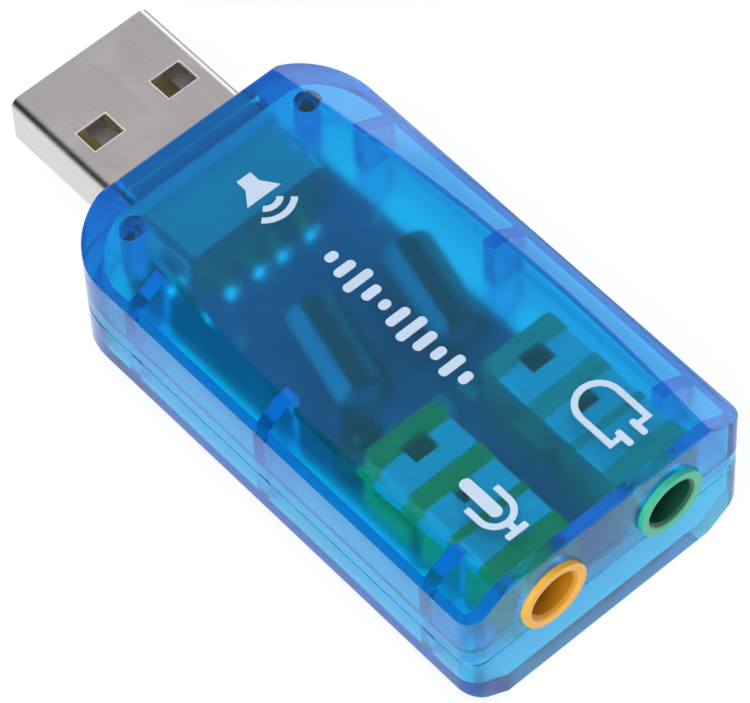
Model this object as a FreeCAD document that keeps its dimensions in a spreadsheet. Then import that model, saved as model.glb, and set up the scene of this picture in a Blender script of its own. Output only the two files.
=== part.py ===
"""A plug-in sound card: a two-piece translucent case, a plug at one end and two audio jacks at the other.

The frame: millimetres, +X out of the jack end, +Z up through the printed top, origin under the middle of
the whole thing on the plane it rests on. The plug points along -X.
"""
import FreeCAD, Part
import os

import Sketcher

DRIVING_SIZES = [
    # The case, outside
    ("case_length", 41.0, "plug end to jack end, without plug and jack noses"),
    ("case_width", 23.9, "across the side walls"),
    ("base_height", 5.9, "resting plane to the seam"),
    ("lid_wall", 4.7, "seam to the upper edge of the side walls"),
    ("lid_crown", 1.9, "rise of the sloping lid sides to the flat top"),
    ("top_half_plug", 7.2, "half width of the flat top at the plug end"),
    ("top_half_middle", 9.4, "half width of the flat top at its widest"),
    ("top_half_jack", 8.6, "half width of the flat top at the jack end"),
    ("top_widest_at", 22.0, "plug end to the widest place of the flat top"),
    ("keel_rise", 2.4, "rise of the sloping sides under the case"),
    ("keel_half", 8.4, "half width of the flat underside"),
    ("shoulder_radius", 4.8, "plan rounding at the plug end"),
    ("corner_radius", 1.4, "plan rounding at the jack end"),
    ("lid_edge_round", 0.3, "rounded border of the lid's flat top"),
    ("base_edge_break", 0.3, "chamfered border of the flat underside"),
    ("seam_groove", 0.12, "chamfer along both sides of the seam"),
    # The case, walls
    ("side_wall", 1.0, "side wall thickness"),
    ("plug_wall", 1.9, "end wall round the plug"),
    ("jack_wall", 1.3, "end wall round the jacks"),
    ("top_plate", 1.2, "thickness of the lid's top"),
    ("floor_plate", 1.2, "thickness of the base's floor"),
    ("lip_height", 0.8, "locating lip standing out of the base"),
    ("lip_width", 0.45, "thickness of the locating lip"),
    ("lip_gap", 0.1, "clearance round the locating lip"),
    ("mouth_gap", 0.1, "clearance round the plug and the jack noses"),
    # Ribs, rests and posts inside the case
    ("rib_thickness", 1.1, "wall ribs that centre the board"),
    ("rib_gap", 0.25, "ribs to what they centre"),
    ("rib_first", 7.4, "plug end to the first ribs"),
    ("rib_middle", 20.3, "plug end to the middle ribs"),
    ("rib_last", 4.7, "jack end to the last ribs"),
    ("rest_first", 3.2, "plug end to the first board rest"),
    ("rest_last", 3.8, "jack end to the second board rest"),
    ("boss_radius", 0.9, "lid posts at the lid"),
    ("post_radius", 0.7, "lid posts at the board"),
    ("post_at", 3.3, "plug end to the lid posts"),
    ("post_gap", 0.65, "lid posts to the plug shell"),
    # The board
    ("board_level", 3.75, "resting plane to the underside of the board"),
    ("board_thickness", 1.2, "laminate"),
    ("board_half", 8.1, "half width of the board"),
    ("board_gap", 0.5, "board to the end walls"),
    ("board_corner", 0.8, "chamfered board corners"),
    ("drill_gap", 0.1, "leg to the wall of its hole"),
    ("leg_below", 0.7, "legs past the underside of the board"),
    # The plug
    ("plug_reach", 11.7, "plug outside the case"),
    ("plug_inside", 6.9, "plug inside the case"),
    ("plug_width", 12.0, "across the plug"),
    ("plug_thickness", 4.5, "through the plug"),
    ("plug_sheet", 0.3, "sheet of the plug shell"),
    ("plug_round", 0.7, "outer bend of the plug shell"),
    ("window_from_tip", 5.16, "tip to the latch windows"),
    ("window_length", 1.95, "latch window along the plug"),
    ("window_width", 2.5, "latch window across the plug"),
    ("window_apart", 4.0, "between the two latch windows"),
    ("tongue_thickness", 1.9, "contact carrier"),
    ("tongue_recess", 0.6, "tip of the shell to the contact carrier"),
    ("carrier_block", 5.4, "block that fills the rear of the shell"),
    ("carrier_gap", 0.05, "block to the roof of the shell"),
    ("blade_recess", 1.6, "tip of the shell to the contact blades"),
    ("blade_width", 1.0, "contact blade"),
    ("blade_sheet", 0.25, "contact strip"),
    ("blade_inner", 1.0, "middle to the two inner blades"),
    ("blade_outer", 3.5, "middle to the two outer blades"),
    ("foot_length", 1.4, "soldered foot of a blade"),
    ("tab_length", 1.6, "shell tab along the plug"),
    ("tab_inset", 1.0, "rear of the shell to its tabs"),
    # The two jacks
    ("jack_pitch", 10.16, "between the two jacks"),
    ("jack_axis_rise", 3.15, "board to the jack axis"),
    ("jack_width", 6.1, "jack body"),
    ("jack_height", 5.75, "jack body"),
    ("jack_depth", 13.1, "jack body without its nose"),
    ("jack_gap", 0.1, "jack body to the end wall"),
    ("jack_round", 0.4, "upright edges at the rear of the jack body"),
    ("rim_radius", 2.65, "jack nose"),
    ("rim_reach", 0.4, "jack nose outside the case"),
    ("bore_radius", 1.8, "jack bore"),
    ("guide_length", 5.8, "rim to the end of the jack bore's plain wall"),
    ("chamber_width", 3.9, "square chamber behind the jack bore's plain wall"),
    ("bore_end", 0.7, "rear wall of the jack body behind the bore"),
    ("flare_radius", 2.1, "bore at the rim"),
    ("flare_depth", 0.3, "flare at the rim"),
    ("spring_sheet", 0.25, "jack contact strip"),
    ("spring_width", 1.8, "jack contact strip"),
    ("spring_bite", 0.12, "contact inside the bore"),
    ("spring_set", 0.5, "bore wall to the flat of a contact"),
    ("spring_leg", 0.8, "contact leg"),
    ("well_gap", 0.15, "contact to its well"),
    ("well_length", 4.5, "well of a contact"),
    ("tip_well_at", 1.2, "rear of the jack body to the tip contact's well"),
    ("ring_well_at", 2.8, "rear of the jack body to the ring contact's well"),
    ("sleeve_well_at", 4.4, "rear of the jack body to the sleeve contact's well"),
    ("strap_sheet", 0.25, "metal strap over the jack roof"),
    ("strap_drop", 1.5, "strap folded down each side of the jack"),
    ("rear_strap_at", 1.8, "rear of the jack body to its rear strap"),
    ("rear_strap_length", 2.6, "rear strap along the jack"),
    ("middle_strap_at", 6.0, "rear of the jack body to its middle strap"),
    ("middle_strap_length", 2.5, "middle strap along the jack"),
    ("front_strap_at", 9.2, "rear of the jack body to its front strap"),
    ("front_strap_length", 2.2, "front strap along the jack"),
    ("rear_well_at", 1.3, "rear of the jack body to the rear opening in its roof"),
    ("rear_well_length", 1.65, "rear opening in the jack roof"),
    ("rear_well_width", 2.0, "rear opening in the jack roof"),
    ("middle_well_at", 6.3, "rear of the jack body to the second opening in its roof"),
    ("middle_well_length", 1.0, "second opening in the jack roof"),
    ("middle_well_width", 1.6, "second opening in the jack roof"),
    # Electrolytic capacitors
    ("can_radius", 1.85, "capacitor can"),
    ("can_length", 7.4, "capacitor can with its bung"),
    ("sleeve_sheet", 0.15, "shrunk sleeve round the can"),
    ("sleeve_curl", 0.5, "sleeve turned in over the ends"),
    ("bung_length", 1.0, "rubber bung"),
    ("bung_inset", 0.2, "can wall round the bung"),
    ("wire_radius", 0.25, "capacitor wires"),
    ("wire_pitch", 1.5, "between the wires of a capacitor"),
    ("wire_reach", 1.1, "bung to where the wires go down"),
    ("wire_bend", 0.5, "bend of the wires"),
    ("can_turn", 14.0, "turn of the capacitors on the board, in degrees"),
    ("far_can_back", 11.7, "jack bodies back to the far capacitor's bung"),
    ("far_can_side", 6.2, "middle to the far capacitor's bung"),
    ("near_can_back", 12.3, "jack bodies back to the near capacitor's bung"),
    ("near_can_side", -1.7, "middle to the near capacitor's bung"),
    # Small parts on the board
    ("codec_size", 7.0, "codec body, square"),
    ("codec_thickness", 1.4, "codec body"),
    ("codec_standoff", 0.1, "codec body to the board"),
    ("codec_back", 6.0, "jack bodies back to the middle of the codec"),
    ("codec_leads", 8, "codec leads on each side"),
    ("codec_pitch", 0.8, "between the codec's leads"),
    ("codec_lead_width", 0.35, "codec lead"),
    ("codec_lead_sheet", 0.15, "codec lead"),
    ("codec_lead_reach", 1.0, "codec lead outside the body"),
    ("crystal_length", 5.0, "crystal"),
    ("crystal_width", 3.2, "crystal"),
    ("crystal_lid", 0.6, "crystal lid"),
    ("crystal_rim", 0.25, "tray past the crystal lid"),
    ("crystal_tray", 0.5, "crystal's ceramic tray"),
    ("crystal_back", 15.0, "jack bodies back to the middle of the crystal"),
    ("crystal_side", 2.3, "middle to the crystal"),
    ("chip_length", 1.6, "chip capacitor or resistor"),
    ("chip_width", 0.8, "chip capacitor or resistor"),
    ("chip_height", 0.8, "chip capacitor"),
    ("resistor_height", 0.45, "chip resistor"),
    ("chip_cap", 0.35, "metal end of a chip"),
    ("chip_row_back", 1.6, "jack bodies back to the row of chips"),
    ("chip_row_first", -3.4, "middle to the first chip of the row"),
    ("chip_row_pitch", 1.9, "between the chips of the row"),
    ("lamp_radius", 1.5, "indicator lamp"),
    ("lamp_flange", 0.25, "flange of the lamp past its body"),
    ("lamp_flange_height", 0.8, "flange of the lamp"),
    ("lamp_height", 4.2, "indicator lamp over the board"),
    ("lamp_shoulder", 1.25, "radius of the lamp half way up its domed end"),
    ("lamp_crown", 0.7, "radius of the lamp's flat crown"),
    ("lamp_dome", 1.0, "domed end of the lamp"),
    ("lamp_back", 2.3, "jack bodies back to the lamp"),
    ("lamp_side", -6.2, "middle to the lamp"),
    ("lamp_pin", 0.45, "square pins of the lamp"),
    ("lamp_pin_pitch", 1.5, "between the pins of the lamp"),
]

# Chips in the row, counted from its near end
CAPACITOR_PLACES = (0, 2, 3, 5)
RESISTOR_PLACES = (1, 4)

# How far a cutting solid stands past what it cuts, and the least rounding left on an inner corner
OVERSHOOT = "0.5"
LEAST_ROUND = "0.3"

doc = FreeCAD.newDocument("SoundCard")
sheet = doc.addObject("Spreadsheet::Sheet", "Sizes")
for row, (alias, value, meaning) in enumerate(DRIVING_SIZES, start=1):
    sheet.set(f"A{row}", meaning)
    sheet.set(f"B{row}", str(value))
    sheet.setAlias(f"B{row}", alias)
doc.recompute()


def size(alias):
    """Return the expression that reads one driving size."""
    return f"Sizes.{alias}"


# Places that several pieces share, as expressions
PLUG_FACE = f"(({size('plug_reach')} - {size('case_length')} - {size('rim_reach')}) / 2)"
JACK_FACE = f"({PLUG_FACE} + {size('case_length')})"
TIP = f"({PLUG_FACE} - {size('plug_reach')})"
PLUG_REAR = f"({PLUG_FACE} + {size('plug_inside')})"
SIDE = f"({size('case_width')} / 2)"
SEAM = size("base_height")
WALL_TOP = f"({SEAM} + {size('lid_wall')})"
TOP = f"({WALL_TOP} + {size('lid_crown')})"
BOARD_TOP = f"({size('board_level')} + {size('board_thickness')})"
LEG_END = f"({size('board_level')} - {size('leg_below')})"
PLUG_LOW = BOARD_TOP
PLUG_HIGH = f"({PLUG_LOW} + {size('plug_thickness')})"
TONGUE_TOP = f"({PLUG_LOW} + {size('plug_sheet')} + {size('tongue_thickness')})"
JACK_AXIS = f"({BOARD_TOP} + {size('jack_axis_rise')})"
JACK_FRONT = f"({JACK_FACE} - {size('jack_wall')} - {size('jack_gap')})"
JACK_REAR = f"({JACK_FRONT} - {size('jack_depth')})"
RIM_END = f"({JACK_FACE} + {size('rim_reach')})"
JACK_ROOF = f"({BOARD_TOP} + {size('jack_height')})"
JACK_SIDE = f"(({size('jack_pitch')} + {size('jack_width')}) / 2)"
POST_SIDE = f"({size('plug_width')} / 2 + {size('post_gap')} + {size('boss_radius')})"
WIDEST_INSIDE = f"max({size('board_half')}; {JACK_SIDE}; {POST_SIDE} + {size('post_radius')})"
RIB_END = f"({WIDEST_INSIDE} + {size('rib_gap')})"
BOARD_LOW_X = f"({PLUG_FACE} + {size('plug_wall')} + {size('board_gap')})"
BOARD_HIGH_X = f"({JACK_FACE} - {size('jack_wall')} - {size('board_gap')})"

sub_parts = []


def keep(item, label):
    """Name a finished sub-part; its label names its file."""
    item.Label = label
    sub_parts.append(item)
    return item


def bind(item, **expressions):
    """Tie an object's properties to expressions of the sheet."""
    for name, expression in expressions.items():
        item.setExpression(name, expression)
    return item


def put(item, x="0", y="0", z="0"):
    """Tie an object's place to expressions of the sheet."""
    for axis, expression in zip("xyz", (x, y, z)):
        item.setExpression(f"Placement.Base.{axis}", expression)
    return item


def turn(item, axis, degrees):
    """Turn an object about one of the main axes before it is put in place."""
    item.Placement = FreeCAD.Placement(FreeCAD.Vector(), FreeCAD.Rotation(FreeCAD.Vector(*axis), degrees))
    return item


# The turn that lays an upright cylinder along X
QUARTER_TURN = 90
ALONG_X = ((0, 1, 0), QUARTER_TURN)


def new_body(name):
    """Start a part-design body."""
    return doc.addObject("PartDesign::Body", name)


def box(body, kind, length, width, height, x, y, z):
    """Add or cut a block; y is the middle of the block, x and z its low corner."""
    item = body.newObject(f"PartDesign::{kind}Box", f"{body.Name}{kind}Box")
    bind(item, Length=length, Width=width, Height=height)
    return put(item, x, f"{y} - ({width}) / 2", z)


def rod(body, kind, radius, length, x, y, z, along=None):
    """Add or cut a cylinder that starts at the given place, upright unless turned."""
    item = body.newObject(f"PartDesign::{kind}Cylinder", f"{body.Name}{kind}Rod")
    bind(item, Radius=radius, Height=length)
    if along:
        turn(item, *along)
    return put(item, x, y, z)


def cone(body, kind, first, last, length, x, y, z, along=None):
    """Add or cut a cone from one radius to another."""
    item = body.newObject(f"PartDesign::{kind}Cone", f"{body.Name}{kind}Cone")
    bind(item, Radius1=first, Radius2=last, Height=length)
    if along:
        turn(item, *along)
    return put(item, x, y, z)


def origin_plane(body, role):
    """Return one of a body's own origin planes."""
    return next(plane for plane in body.Origin.OriginFeatures if plane.Role == role)


def sketch_on(body, role, offset):
    """Start a sketch on an origin plane of a body, moved along the plane's normal."""
    sketch = body.newObject("Sketcher::SketchObject", f"{body.Name}Outline")
    sketch.AttachmentSupport = [(origin_plane(body, role), "")]
    sketch.MapMode = "FlatFace"
    sketch.setExpression("AttachmentOffset.Base.z", offset)
    return sketch


def polygon(body, role, points, offset="0", closed=True):
    """Draw an outline of straight lines, every corner tied to the sheet."""
    sketch = sketch_on(body, role, offset)
    corners = [FreeCAD.Vector(index, index * index, 0) for index in range(len(points))]
    ends = corners[1:] + corners[:1] if closed else corners[1:]
    for first, last in zip(corners, ends):
        sketch.addGeometry(Part.LineSegment(first, last))
    for index in range(1, len(ends)):
        sketch.addConstraint(Sketcher.Constraint("Coincident", index - 1, 2, index, 1))
    if closed:
        sketch.addConstraint(Sketcher.Constraint("Coincident", len(ends) - 1, 2, 0, 1))
    for index, corner in enumerate(points):
        line, end = (index, 1) if index < len(ends) else (index - 1, 2)
        for direction, expression in zip("XY", corner):
            number = sketch.addConstraint(Sketcher.Constraint(f"Distance{direction}", line, end, 1.0))
            sketch.setExpression(f"Constraints[{number}]", expression)
    return sketch


def disc(body, role, radius, x="0", y="0", offset="0"):
    """Draw a circle, its radius and middle tied to the sheet."""
    sketch = sketch_on(body, role, offset)
    circle = sketch.addGeometry(Part.Circle(FreeCAD.Vector(1, 1, 0), FreeCAD.Vector(0, 0, 1), 1))
    for kind, ends, expression in (("Radius", (), radius), ("DistanceX", (3,), x), ("DistanceY", (3,), y)):
        number = sketch.addConstraint(Sketcher.Constraint(kind, circle, *ends, 1.0))
        sketch.setExpression(f"Constraints[{number}]", expression)
    return sketch


def sweep(body, profile, path):
    """Carry a profile along a path of straight runs, mitred at the corners."""
    item = body.newObject("PartDesign::AdditivePipe", f"{body.Name}Sweep")
    item.Profile = profile
    item.Spine = (path, [f"Edge{number}" for number in range(1, path.GeometryCount + 1)])
    item.Transition = "Right corner"
    return item


def pad(body, sketch, length):
    """Thicken an outline evenly to both sides of its plane."""
    item = body.newObject("PartDesign::Pad", f"{body.Name}Pad")
    item.Profile = sketch
    item.Midplane = True
    return bind(item, Length=length)


def mirrored(body, feature):
    """Repeat a feature on the other side of the middle plane."""
    item = body.newObject("PartDesign::Mirrored", f"{body.Name}Mirrored")
    item.Originals = [feature]
    item.MirrorPlane = (origin_plane(body, "XZ_Plane"), [""])
    body.Tip = item
    return item


def edges_where(body, wanted):
    """Name the edges of a body's present shape that a test picks."""
    doc.recompute()
    shape = body.Tip.Shape
    return [f"Edge{number}" for number, edge in enumerate(shape.Edges, start=1) if wanted(edge)]


def soften(body, edges, radius, kind="Fillet"):
    """Round or chamfer some edges of a body."""
    base = body.Tip
    item = body.newObject(f"PartDesign::{kind}", f"{body.Name}{kind}")
    item.Base = (base, edges)
    bind(item, **{"Radius" if kind == "Fillet" else "Size": radius})
    doc.recompute()
    return item


def fuse(name, *items):
    """Join solids into one."""
    item = doc.addObject("Part::MultiFuse", name)
    item.Shapes = list(items)
    item.Refine = True
    return item


def cut(name, base, *tools):
    """Take solids away from another."""
    item = doc.addObject("Part::Cut", name)
    item.Base = base
    item.Tool = tools[0] if len(tools) == 1 else fuse(f"{name}Tools", *tools)
    item.Refine = True
    return item


def group(name, *items):
    """Keep like solids together, unjoined."""
    item = doc.addObject("Part::Compound", name)
    item.Links = list(items)
    return item


def block(name, length, width, height, x, y, z):
    """Make a free block; x and y are its middle, z its underside."""
    item = doc.addObject("Part::Box", name)
    bind(item, Length=length, Width=width, Height=height)
    return put(item, f"{x} - ({length}) / 2", f"{y} - ({width}) / 2", z)


def bar(name, radius, length, x, y, z, along=None):
    """Make a free cylinder that starts at the given place, upright unless turned."""
    item = doc.addObject("Part::Cylinder", name)
    bind(item, Radius=radius, Height=length)
    if along:
        turn(item, *along)
    return put(item, x, y, z)


def lay(item, x, y, z):
    """Lay a piece made along X down in the capacitors' direction."""
    item.Placement = FreeCAD.Placement(FreeCAD.Vector(), FreeCAD.Rotation(FreeCAD.Vector(0, 0, -1), 1))
    item.setExpression("Placement.Rotation.Angle", f"{size('can_turn')} * 1 deg")
    return put(item, x, y, z)


def from_plug_end(alias):
    """Return the place along X of a size that is measured from the plug end."""
    return f"({PLUG_FACE} + {size(alias)})"


def from_jack_end(alias):
    """Return the place along X of a size that is measured back from the jack end."""
    return f"({JACK_FACE} - {size(alias)})"


def before_jacks(alias):
    """Return the place along X of a size that is measured back from the rear of the jack bodies."""
    return f"({JACK_REAR} - {size(alias)})"


def is_upright(edge):
    """Tell whether an edge is a straight upright one."""
    rise = edge.BoundBox.ZMax - edge.BoundBox.ZMin
    return edge.Curve.TypeId == "Part::GeomLine" and abs(edge.Length - rise) < 1e-6


def runs_along_x(edge):
    """Tell whether an edge is a straight one along X."""
    return edge.Curve.TypeId == "Part::GeomLine" and abs(edge.Length - edge.BoundBox.XLength) < 1e-6


def lies_at(edge, level):
    """Tell whether an edge lies flat at one height."""
    return all(abs(vertex.Z - level) < 1e-6 for vertex in edge.Vertexes)


def plan_form(name, low, high, side_inset="0", plug_inset="0", jack_inset="0"):
    """Make an upright solid with the case's plan outline, drawn in by the walls given."""
    body = new_body(name)
    length = f"{size('case_length')} - ({plug_inset}) - ({jack_inset})"
    width = f"{size('case_width')} - 2 * ({side_inset})"
    box(body, "Additive", length, width, f"{high} - ({low})", f"{PLUG_FACE} + {plug_inset}", "0", low)
    for alias, at_plug in (("shoulder_radius", True), ("corner_radius", False)):
        doc.recompute()
        middle = body.Tip.Shape.BoundBox.Center.x
        uprights = edges_where(body, lambda edge: is_upright(edge)
                               and (edge.CenterOfMass.x < middle) == at_plug)
        soften(body, uprights, f"max({size(alias)} - ({side_inset}); {LEAST_ROUND})")
    return body


def slope_lid_sides(body, drop="0"):
    """Cut the sloping sides of the lid, which run in a bow between the two ends."""
    stations = [
        (f"{PLUG_FACE} - {OVERSHOOT}", size("top_half_plug")),
        (from_plug_end("top_widest_at"), size("top_half_middle")),
        (f"{JACK_FACE} + {OVERSHOOT}", size("top_half_jack")),
    ]
    sections = []
    for along, half in stations:
        run_per_rise = f"({SIDE} - {half}) / {size('lid_crown')}"
        outside = f"{SIDE} + {OVERSHOOT}"
        above = f"{TOP} - {drop} + {OVERSHOOT}"
        below = f"{WALL_TOP} - {drop} - {OVERSHOOT} / ({run_per_rise})"
        inside = f"{half} - {OVERSHOOT} * {run_per_rise}"
        corners = [(inside, above), (outside, above), (outside, below)]
        sections.append(polygon(body, "YZ_Plane", corners, along))
    loft = body.newObject("PartDesign::SubtractiveLoft", f"{body.Name}Slope")
    loft.Profile = sections[0]
    loft.Sections = sections[1:]
    return mirrored(body, loft)


def slope_keel_sides(body, rise="0"):
    """Cut the straight sloping sides under the base."""
    run_per_rise = f"({SIDE} - {size('keel_half')}) / {size('keel_rise')}"
    outside = f"{SIDE} + {OVERSHOOT}"
    below = f"{rise} - {OVERSHOOT}"
    above = f"{rise} + {size('keel_rise')} + {OVERSHOOT} / ({run_per_rise})"
    inside = f"{size('keel_half')} - {OVERSHOOT} * {run_per_rise}"
    sketch = polygon(body, "YZ_Plane", [(inside, below), (outside, below), (outside, above)])
    pocket = body.newObject("PartDesign::Pocket", f"{body.Name}Slope")
    pocket.Profile = sketch
    pocket.Midplane = True
    bind(pocket, Length=f"4 * {size('case_length')}")
    return mirrored(body, pocket)


def wall_ribs(name, low, high):
    """Make the upright ribs that stand on both side walls and end just short of the board."""
    depth = f"({SIDE} - {RIB_END})"
    rows = [from_plug_end("rib_first"), from_plug_end("rib_middle"), from_jack_end("rib_last")]
    return [
        block(f"{name}{number}{hand}", size("rib_thickness"), depth, f"{high} - ({low})", along,
              f"{sign} * ({SIDE} + {RIB_END}) / 2", low)
        for number, along in enumerate(rows, start=1)
        for hand, sign in (("Far", "1"), ("Near", "-1"))
    ]


def case_ways():
    """Make the solids that open both shells for the plug and for the two jack noses."""
    gap = size("mouth_gap")
    ways = [
        block("PlugWay", f"2 * {size('plug_wall')} + 2 * {OVERSHOOT}", f"{size('plug_width')} + 2 * {gap}",
              f"{size('plug_thickness')} + 2 * {gap}", PLUG_FACE, "0", f"{PLUG_LOW} - {gap}")
    ]
    start = f"{JACK_FACE} - {size('jack_wall')} - {OVERSHOOT}"
    length = f"2 * {size('jack_wall')} + {OVERSHOOT}"
    for hand, sign in (("Mic", "-1"), ("Phones", "1")):
        ways.append(bar(f"JackWay{hand}", f"{size('rim_radius')} + {gap}", length, start,
                        f"{sign} * {size('jack_pitch')} / 2", JACK_AXIS, ALONG_X))
    return ways


def lip_insets(clearance):
    """Return the wall insets of the locating lip's outer face, moved outwards by a clearance."""
    walls = ("side_wall", "plug_wall", "jack_wall")
    return [f"({size(wall)} - {size('lip_width')} - {clearance})" for wall in walls]


def make_case():
    """Make the two shells: sloped and rounded outside, hollow, ribbed, and lipped along the seam."""
    walls = [size("side_wall"), size("plug_wall"), size("jack_wall")]
    lip_top = f"({SEAM} + {size('lip_height')})"
    lip_roof = f"({lip_top} + {size('lip_gap')})"
    ways = case_ways()

    outside = plan_form("LidOutside", SEAM, TOP)
    slope_lid_sides(outside)
    top_level = sheet.base_height + sheet.lid_wall + sheet.lid_crown
    soften(outside, edges_where(outside, lambda edge: lies_at(edge, top_level)), size("lid_edge_round"))
    seam_edges = edges_where(outside, lambda edge: lies_at(edge, sheet.base_height))
    soften(outside, seam_edges, size("seam_groove"), "Chamfer")
    room = plan_form("LidRoom", f"{SEAM} - {OVERSHOOT}", f"{TOP} - {size('top_plate')}", *walls)
    slope_lid_sides(room, size("top_plate"))
    rebate = plan_form("LidRebate", f"{SEAM} - {OVERSHOOT}", lip_roof, *lip_insets(size("lip_gap")))
    space = cut("LidSpace", room, *wall_ribs("LidRib", lip_roof, TOP))
    hollow = cut("LidHollow", outside, space, rebate, *ways)
    posts = []
    along = from_plug_end("post_at")
    anchor = f"({TOP} - {size('top_plate')} / 2)"
    for hand, sign in (("Far", "1"), ("Near", "-1")):
        side = f"{sign} * {POST_SIDE}"
        for kind, radius, foot in (("Boss", "boss_radius", lip_roof), ("Post", "post_radius", BOARD_TOP)):
            posts.append(bar(f"Lid{kind}{hand}", size(radius), f"{anchor} - {foot}", along, side, foot))
    keep(fuse("Lid", hollow, *posts), "top_shell")

    outside = plan_form("BaseOutside", "0", SEAM)
    slope_keel_sides(outside)
    soften(outside, edges_where(outside, lambda edge: lies_at(edge, 0)), size("base_edge_break"), "Chamfer")
    seam_edges = edges_where(outside, lambda edge: lies_at(edge, sheet.base_height))
    soften(outside, seam_edges, size("seam_groove"), "Chamfer")
    lip = plan_form("BaseLip", f"{SEAM} - {OVERSHOOT}", lip_top, *lip_insets("0"))
    room = plan_form("BaseRoom", size("floor_plate"), f"{lip_top} + {OVERSHOOT}", *walls)
    slope_keel_sides(room, size("floor_plate"))
    ribs = wall_ribs("BaseRib", "0", f"{SEAM} - {size('lip_gap')}")
    rest_places = {"FirstRest": from_plug_end("rest_first"), "LastRest": from_jack_end("rest_last")}
    rests = [
        block(name, size("rib_thickness"), f"2 * {RIB_END}", size("board_level"), along, "0", "0")
        for name, along in rest_places.items()
    ]
    space = cut("BaseSpace", room, *ribs, *rests)
    keep(cut("Base", fuse("BaseSolid", outside, lip), space, *ways), "bottom_shell")


def make_plug():
    """Make the plug: folded shell, contact carrier and the four contact strips with their feet."""
    sheet_gap = size("plug_sheet")
    length = f"({size('plug_reach')} + {size('plug_inside')})"
    inner_width = f"({size('plug_width')} - 2 * {sheet_gap})"
    inner_low = f"({PLUG_LOW} + {sheet_gap})"
    inner_high = f"({PLUG_HIGH} - {sheet_gap})"

    shell = new_body("PlugShell")
    box(shell, "Additive", length, size("plug_width"), size("plug_thickness"), TIP, "0", PLUG_LOW)
    soften(shell, edges_where(shell, runs_along_x), size("plug_round"))
    before = set(edge.CenterOfMass.y for edge in shell.Tip.Shape.Edges if runs_along_x(edge))
    box(shell, "Subtractive", f"{length} + 2 * {OVERSHOOT}", inner_width, f"{inner_high} - {inner_low}",
        f"{TIP} - {OVERSHOOT}", "0", inner_low)
    inner = edges_where(shell, lambda edge: runs_along_x(edge)
                        and all(abs(edge.CenterOfMass.y - side) > 1e-6 for side in before))
    soften(shell, inner, f"max({size('plug_round')} - {sheet_gap}; {LEAST_ROUND})")
    window_side = f"(({size('window_apart')} + {size('window_width')}) / 2)"
    for sign in ("-1", "1"):
        box(shell, "Subtractive", size("window_length"), size("window_width"),
            f"{size('plug_thickness')} + 2 * {OVERSHOOT}", f"{TIP} + {size('window_from_tip')}",
            f"{sign} * {window_side}", f"{PLUG_LOW} - {OVERSHOOT}")
    tab_height = f"{PLUG_LOW} + {size('plug_thickness')} / 2 - {LEG_END}"
    for sign in ("-1", "1"):
        box(shell, "Additive", size("tab_length"), sheet_gap, tab_height,
            f"{PLUG_REAR} - {size('tab_inset')} - {size('tab_length')}",
            f"{sign} * ({size('plug_width')} - {sheet_gap}) / 2", LEG_END)
    keep(shell, "usb_shell")

    tongue_start = f"({TIP} + {size('tongue_recess')})"
    carrier = new_body("ContactCarrier")
    block_start = f"({PLUG_REAR} - {size('carrier_block')})"
    box(carrier, "Additive", f"{PLUG_REAR} - {tongue_start}", inner_width, size("tongue_thickness"),
        tongue_start, "0", inner_low)
    box(carrier, "Additive", size("carrier_block"), inner_width,
        f"{inner_high} - {TONGUE_TOP} - {size('carrier_gap')}", block_start, "0", TONGUE_TOP)
    doc.recompute()
    outline = carrier.Shape.BoundBox
    soften(carrier, edges_where(carrier, lambda edge: runs_along_x(edge)
                                and any(lies_at(edge, level) for level in (outline.ZMin, outline.ZMax))),
           f"max({size('plug_round')} - {sheet_gap}; {LEAST_ROUND})")
    strips = []
    places = (f"-{size('blade_outer')}", f"-{size('blade_inner')}", size("blade_inner"), size("blade_outer"))
    for number, place in enumerate(places, start=1):
        box(carrier, "Subtractive", f"{size('carrier_block')} + {OVERSHOOT}", size("blade_width"),
            size("blade_sheet"), block_start, place, TONGUE_TOP)
        strips.append((f"usb_contact_{number}", place))
    keep(carrier, "usb_insulator")

    thick = size("blade_sheet")
    fall = f"({PLUG_REAR} + {thick})"
    for label, place in strips:
        strip = new_body("Contact")
        sketch = polygon(strip, "XZ_Plane", [
            (f"{TIP} + {size('blade_recess')}", TONGUE_TOP),
            (f"{TIP} + {size('blade_recess')}", f"{TONGUE_TOP} + {thick}"),
            (fall, f"{TONGUE_TOP} + {thick}"),
            (fall, f"{BOARD_TOP} + {thick}"),
            (f"{fall} + {size('foot_length')}", f"{BOARD_TOP} + {thick}"),
            (f"{fall} + {size('foot_length')}", BOARD_TOP),
            (PLUG_REAR, BOARD_TOP),
            (PLUG_REAR, TONGUE_TOP),
        ], f"-({place})")
        pad(strip, sketch, size("blade_width"))
        keep(strip, label)


def contact_outline(start, end, axis, sign):
    """Return the outline of a jack contact: a strip that bends through the bore wall and back."""
    thick = size("spring_sheet")
    flat = f"({size('bore_radius')} + {size('spring_set')})"
    peak = f"({size('bore_radius')} - {size('spring_bite')})"
    middle = f"({start} + {end}) / 2"
    side = [
        (start, flat), (middle, peak), (end, flat),
        (end, f"{flat} + {thick}"), (middle, f"{peak} + {thick}"), (start, f"{flat} + {thick}"),
    ]
    return [(along, f"{axis} + {sign} * ({away})") for along, away in side]


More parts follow.
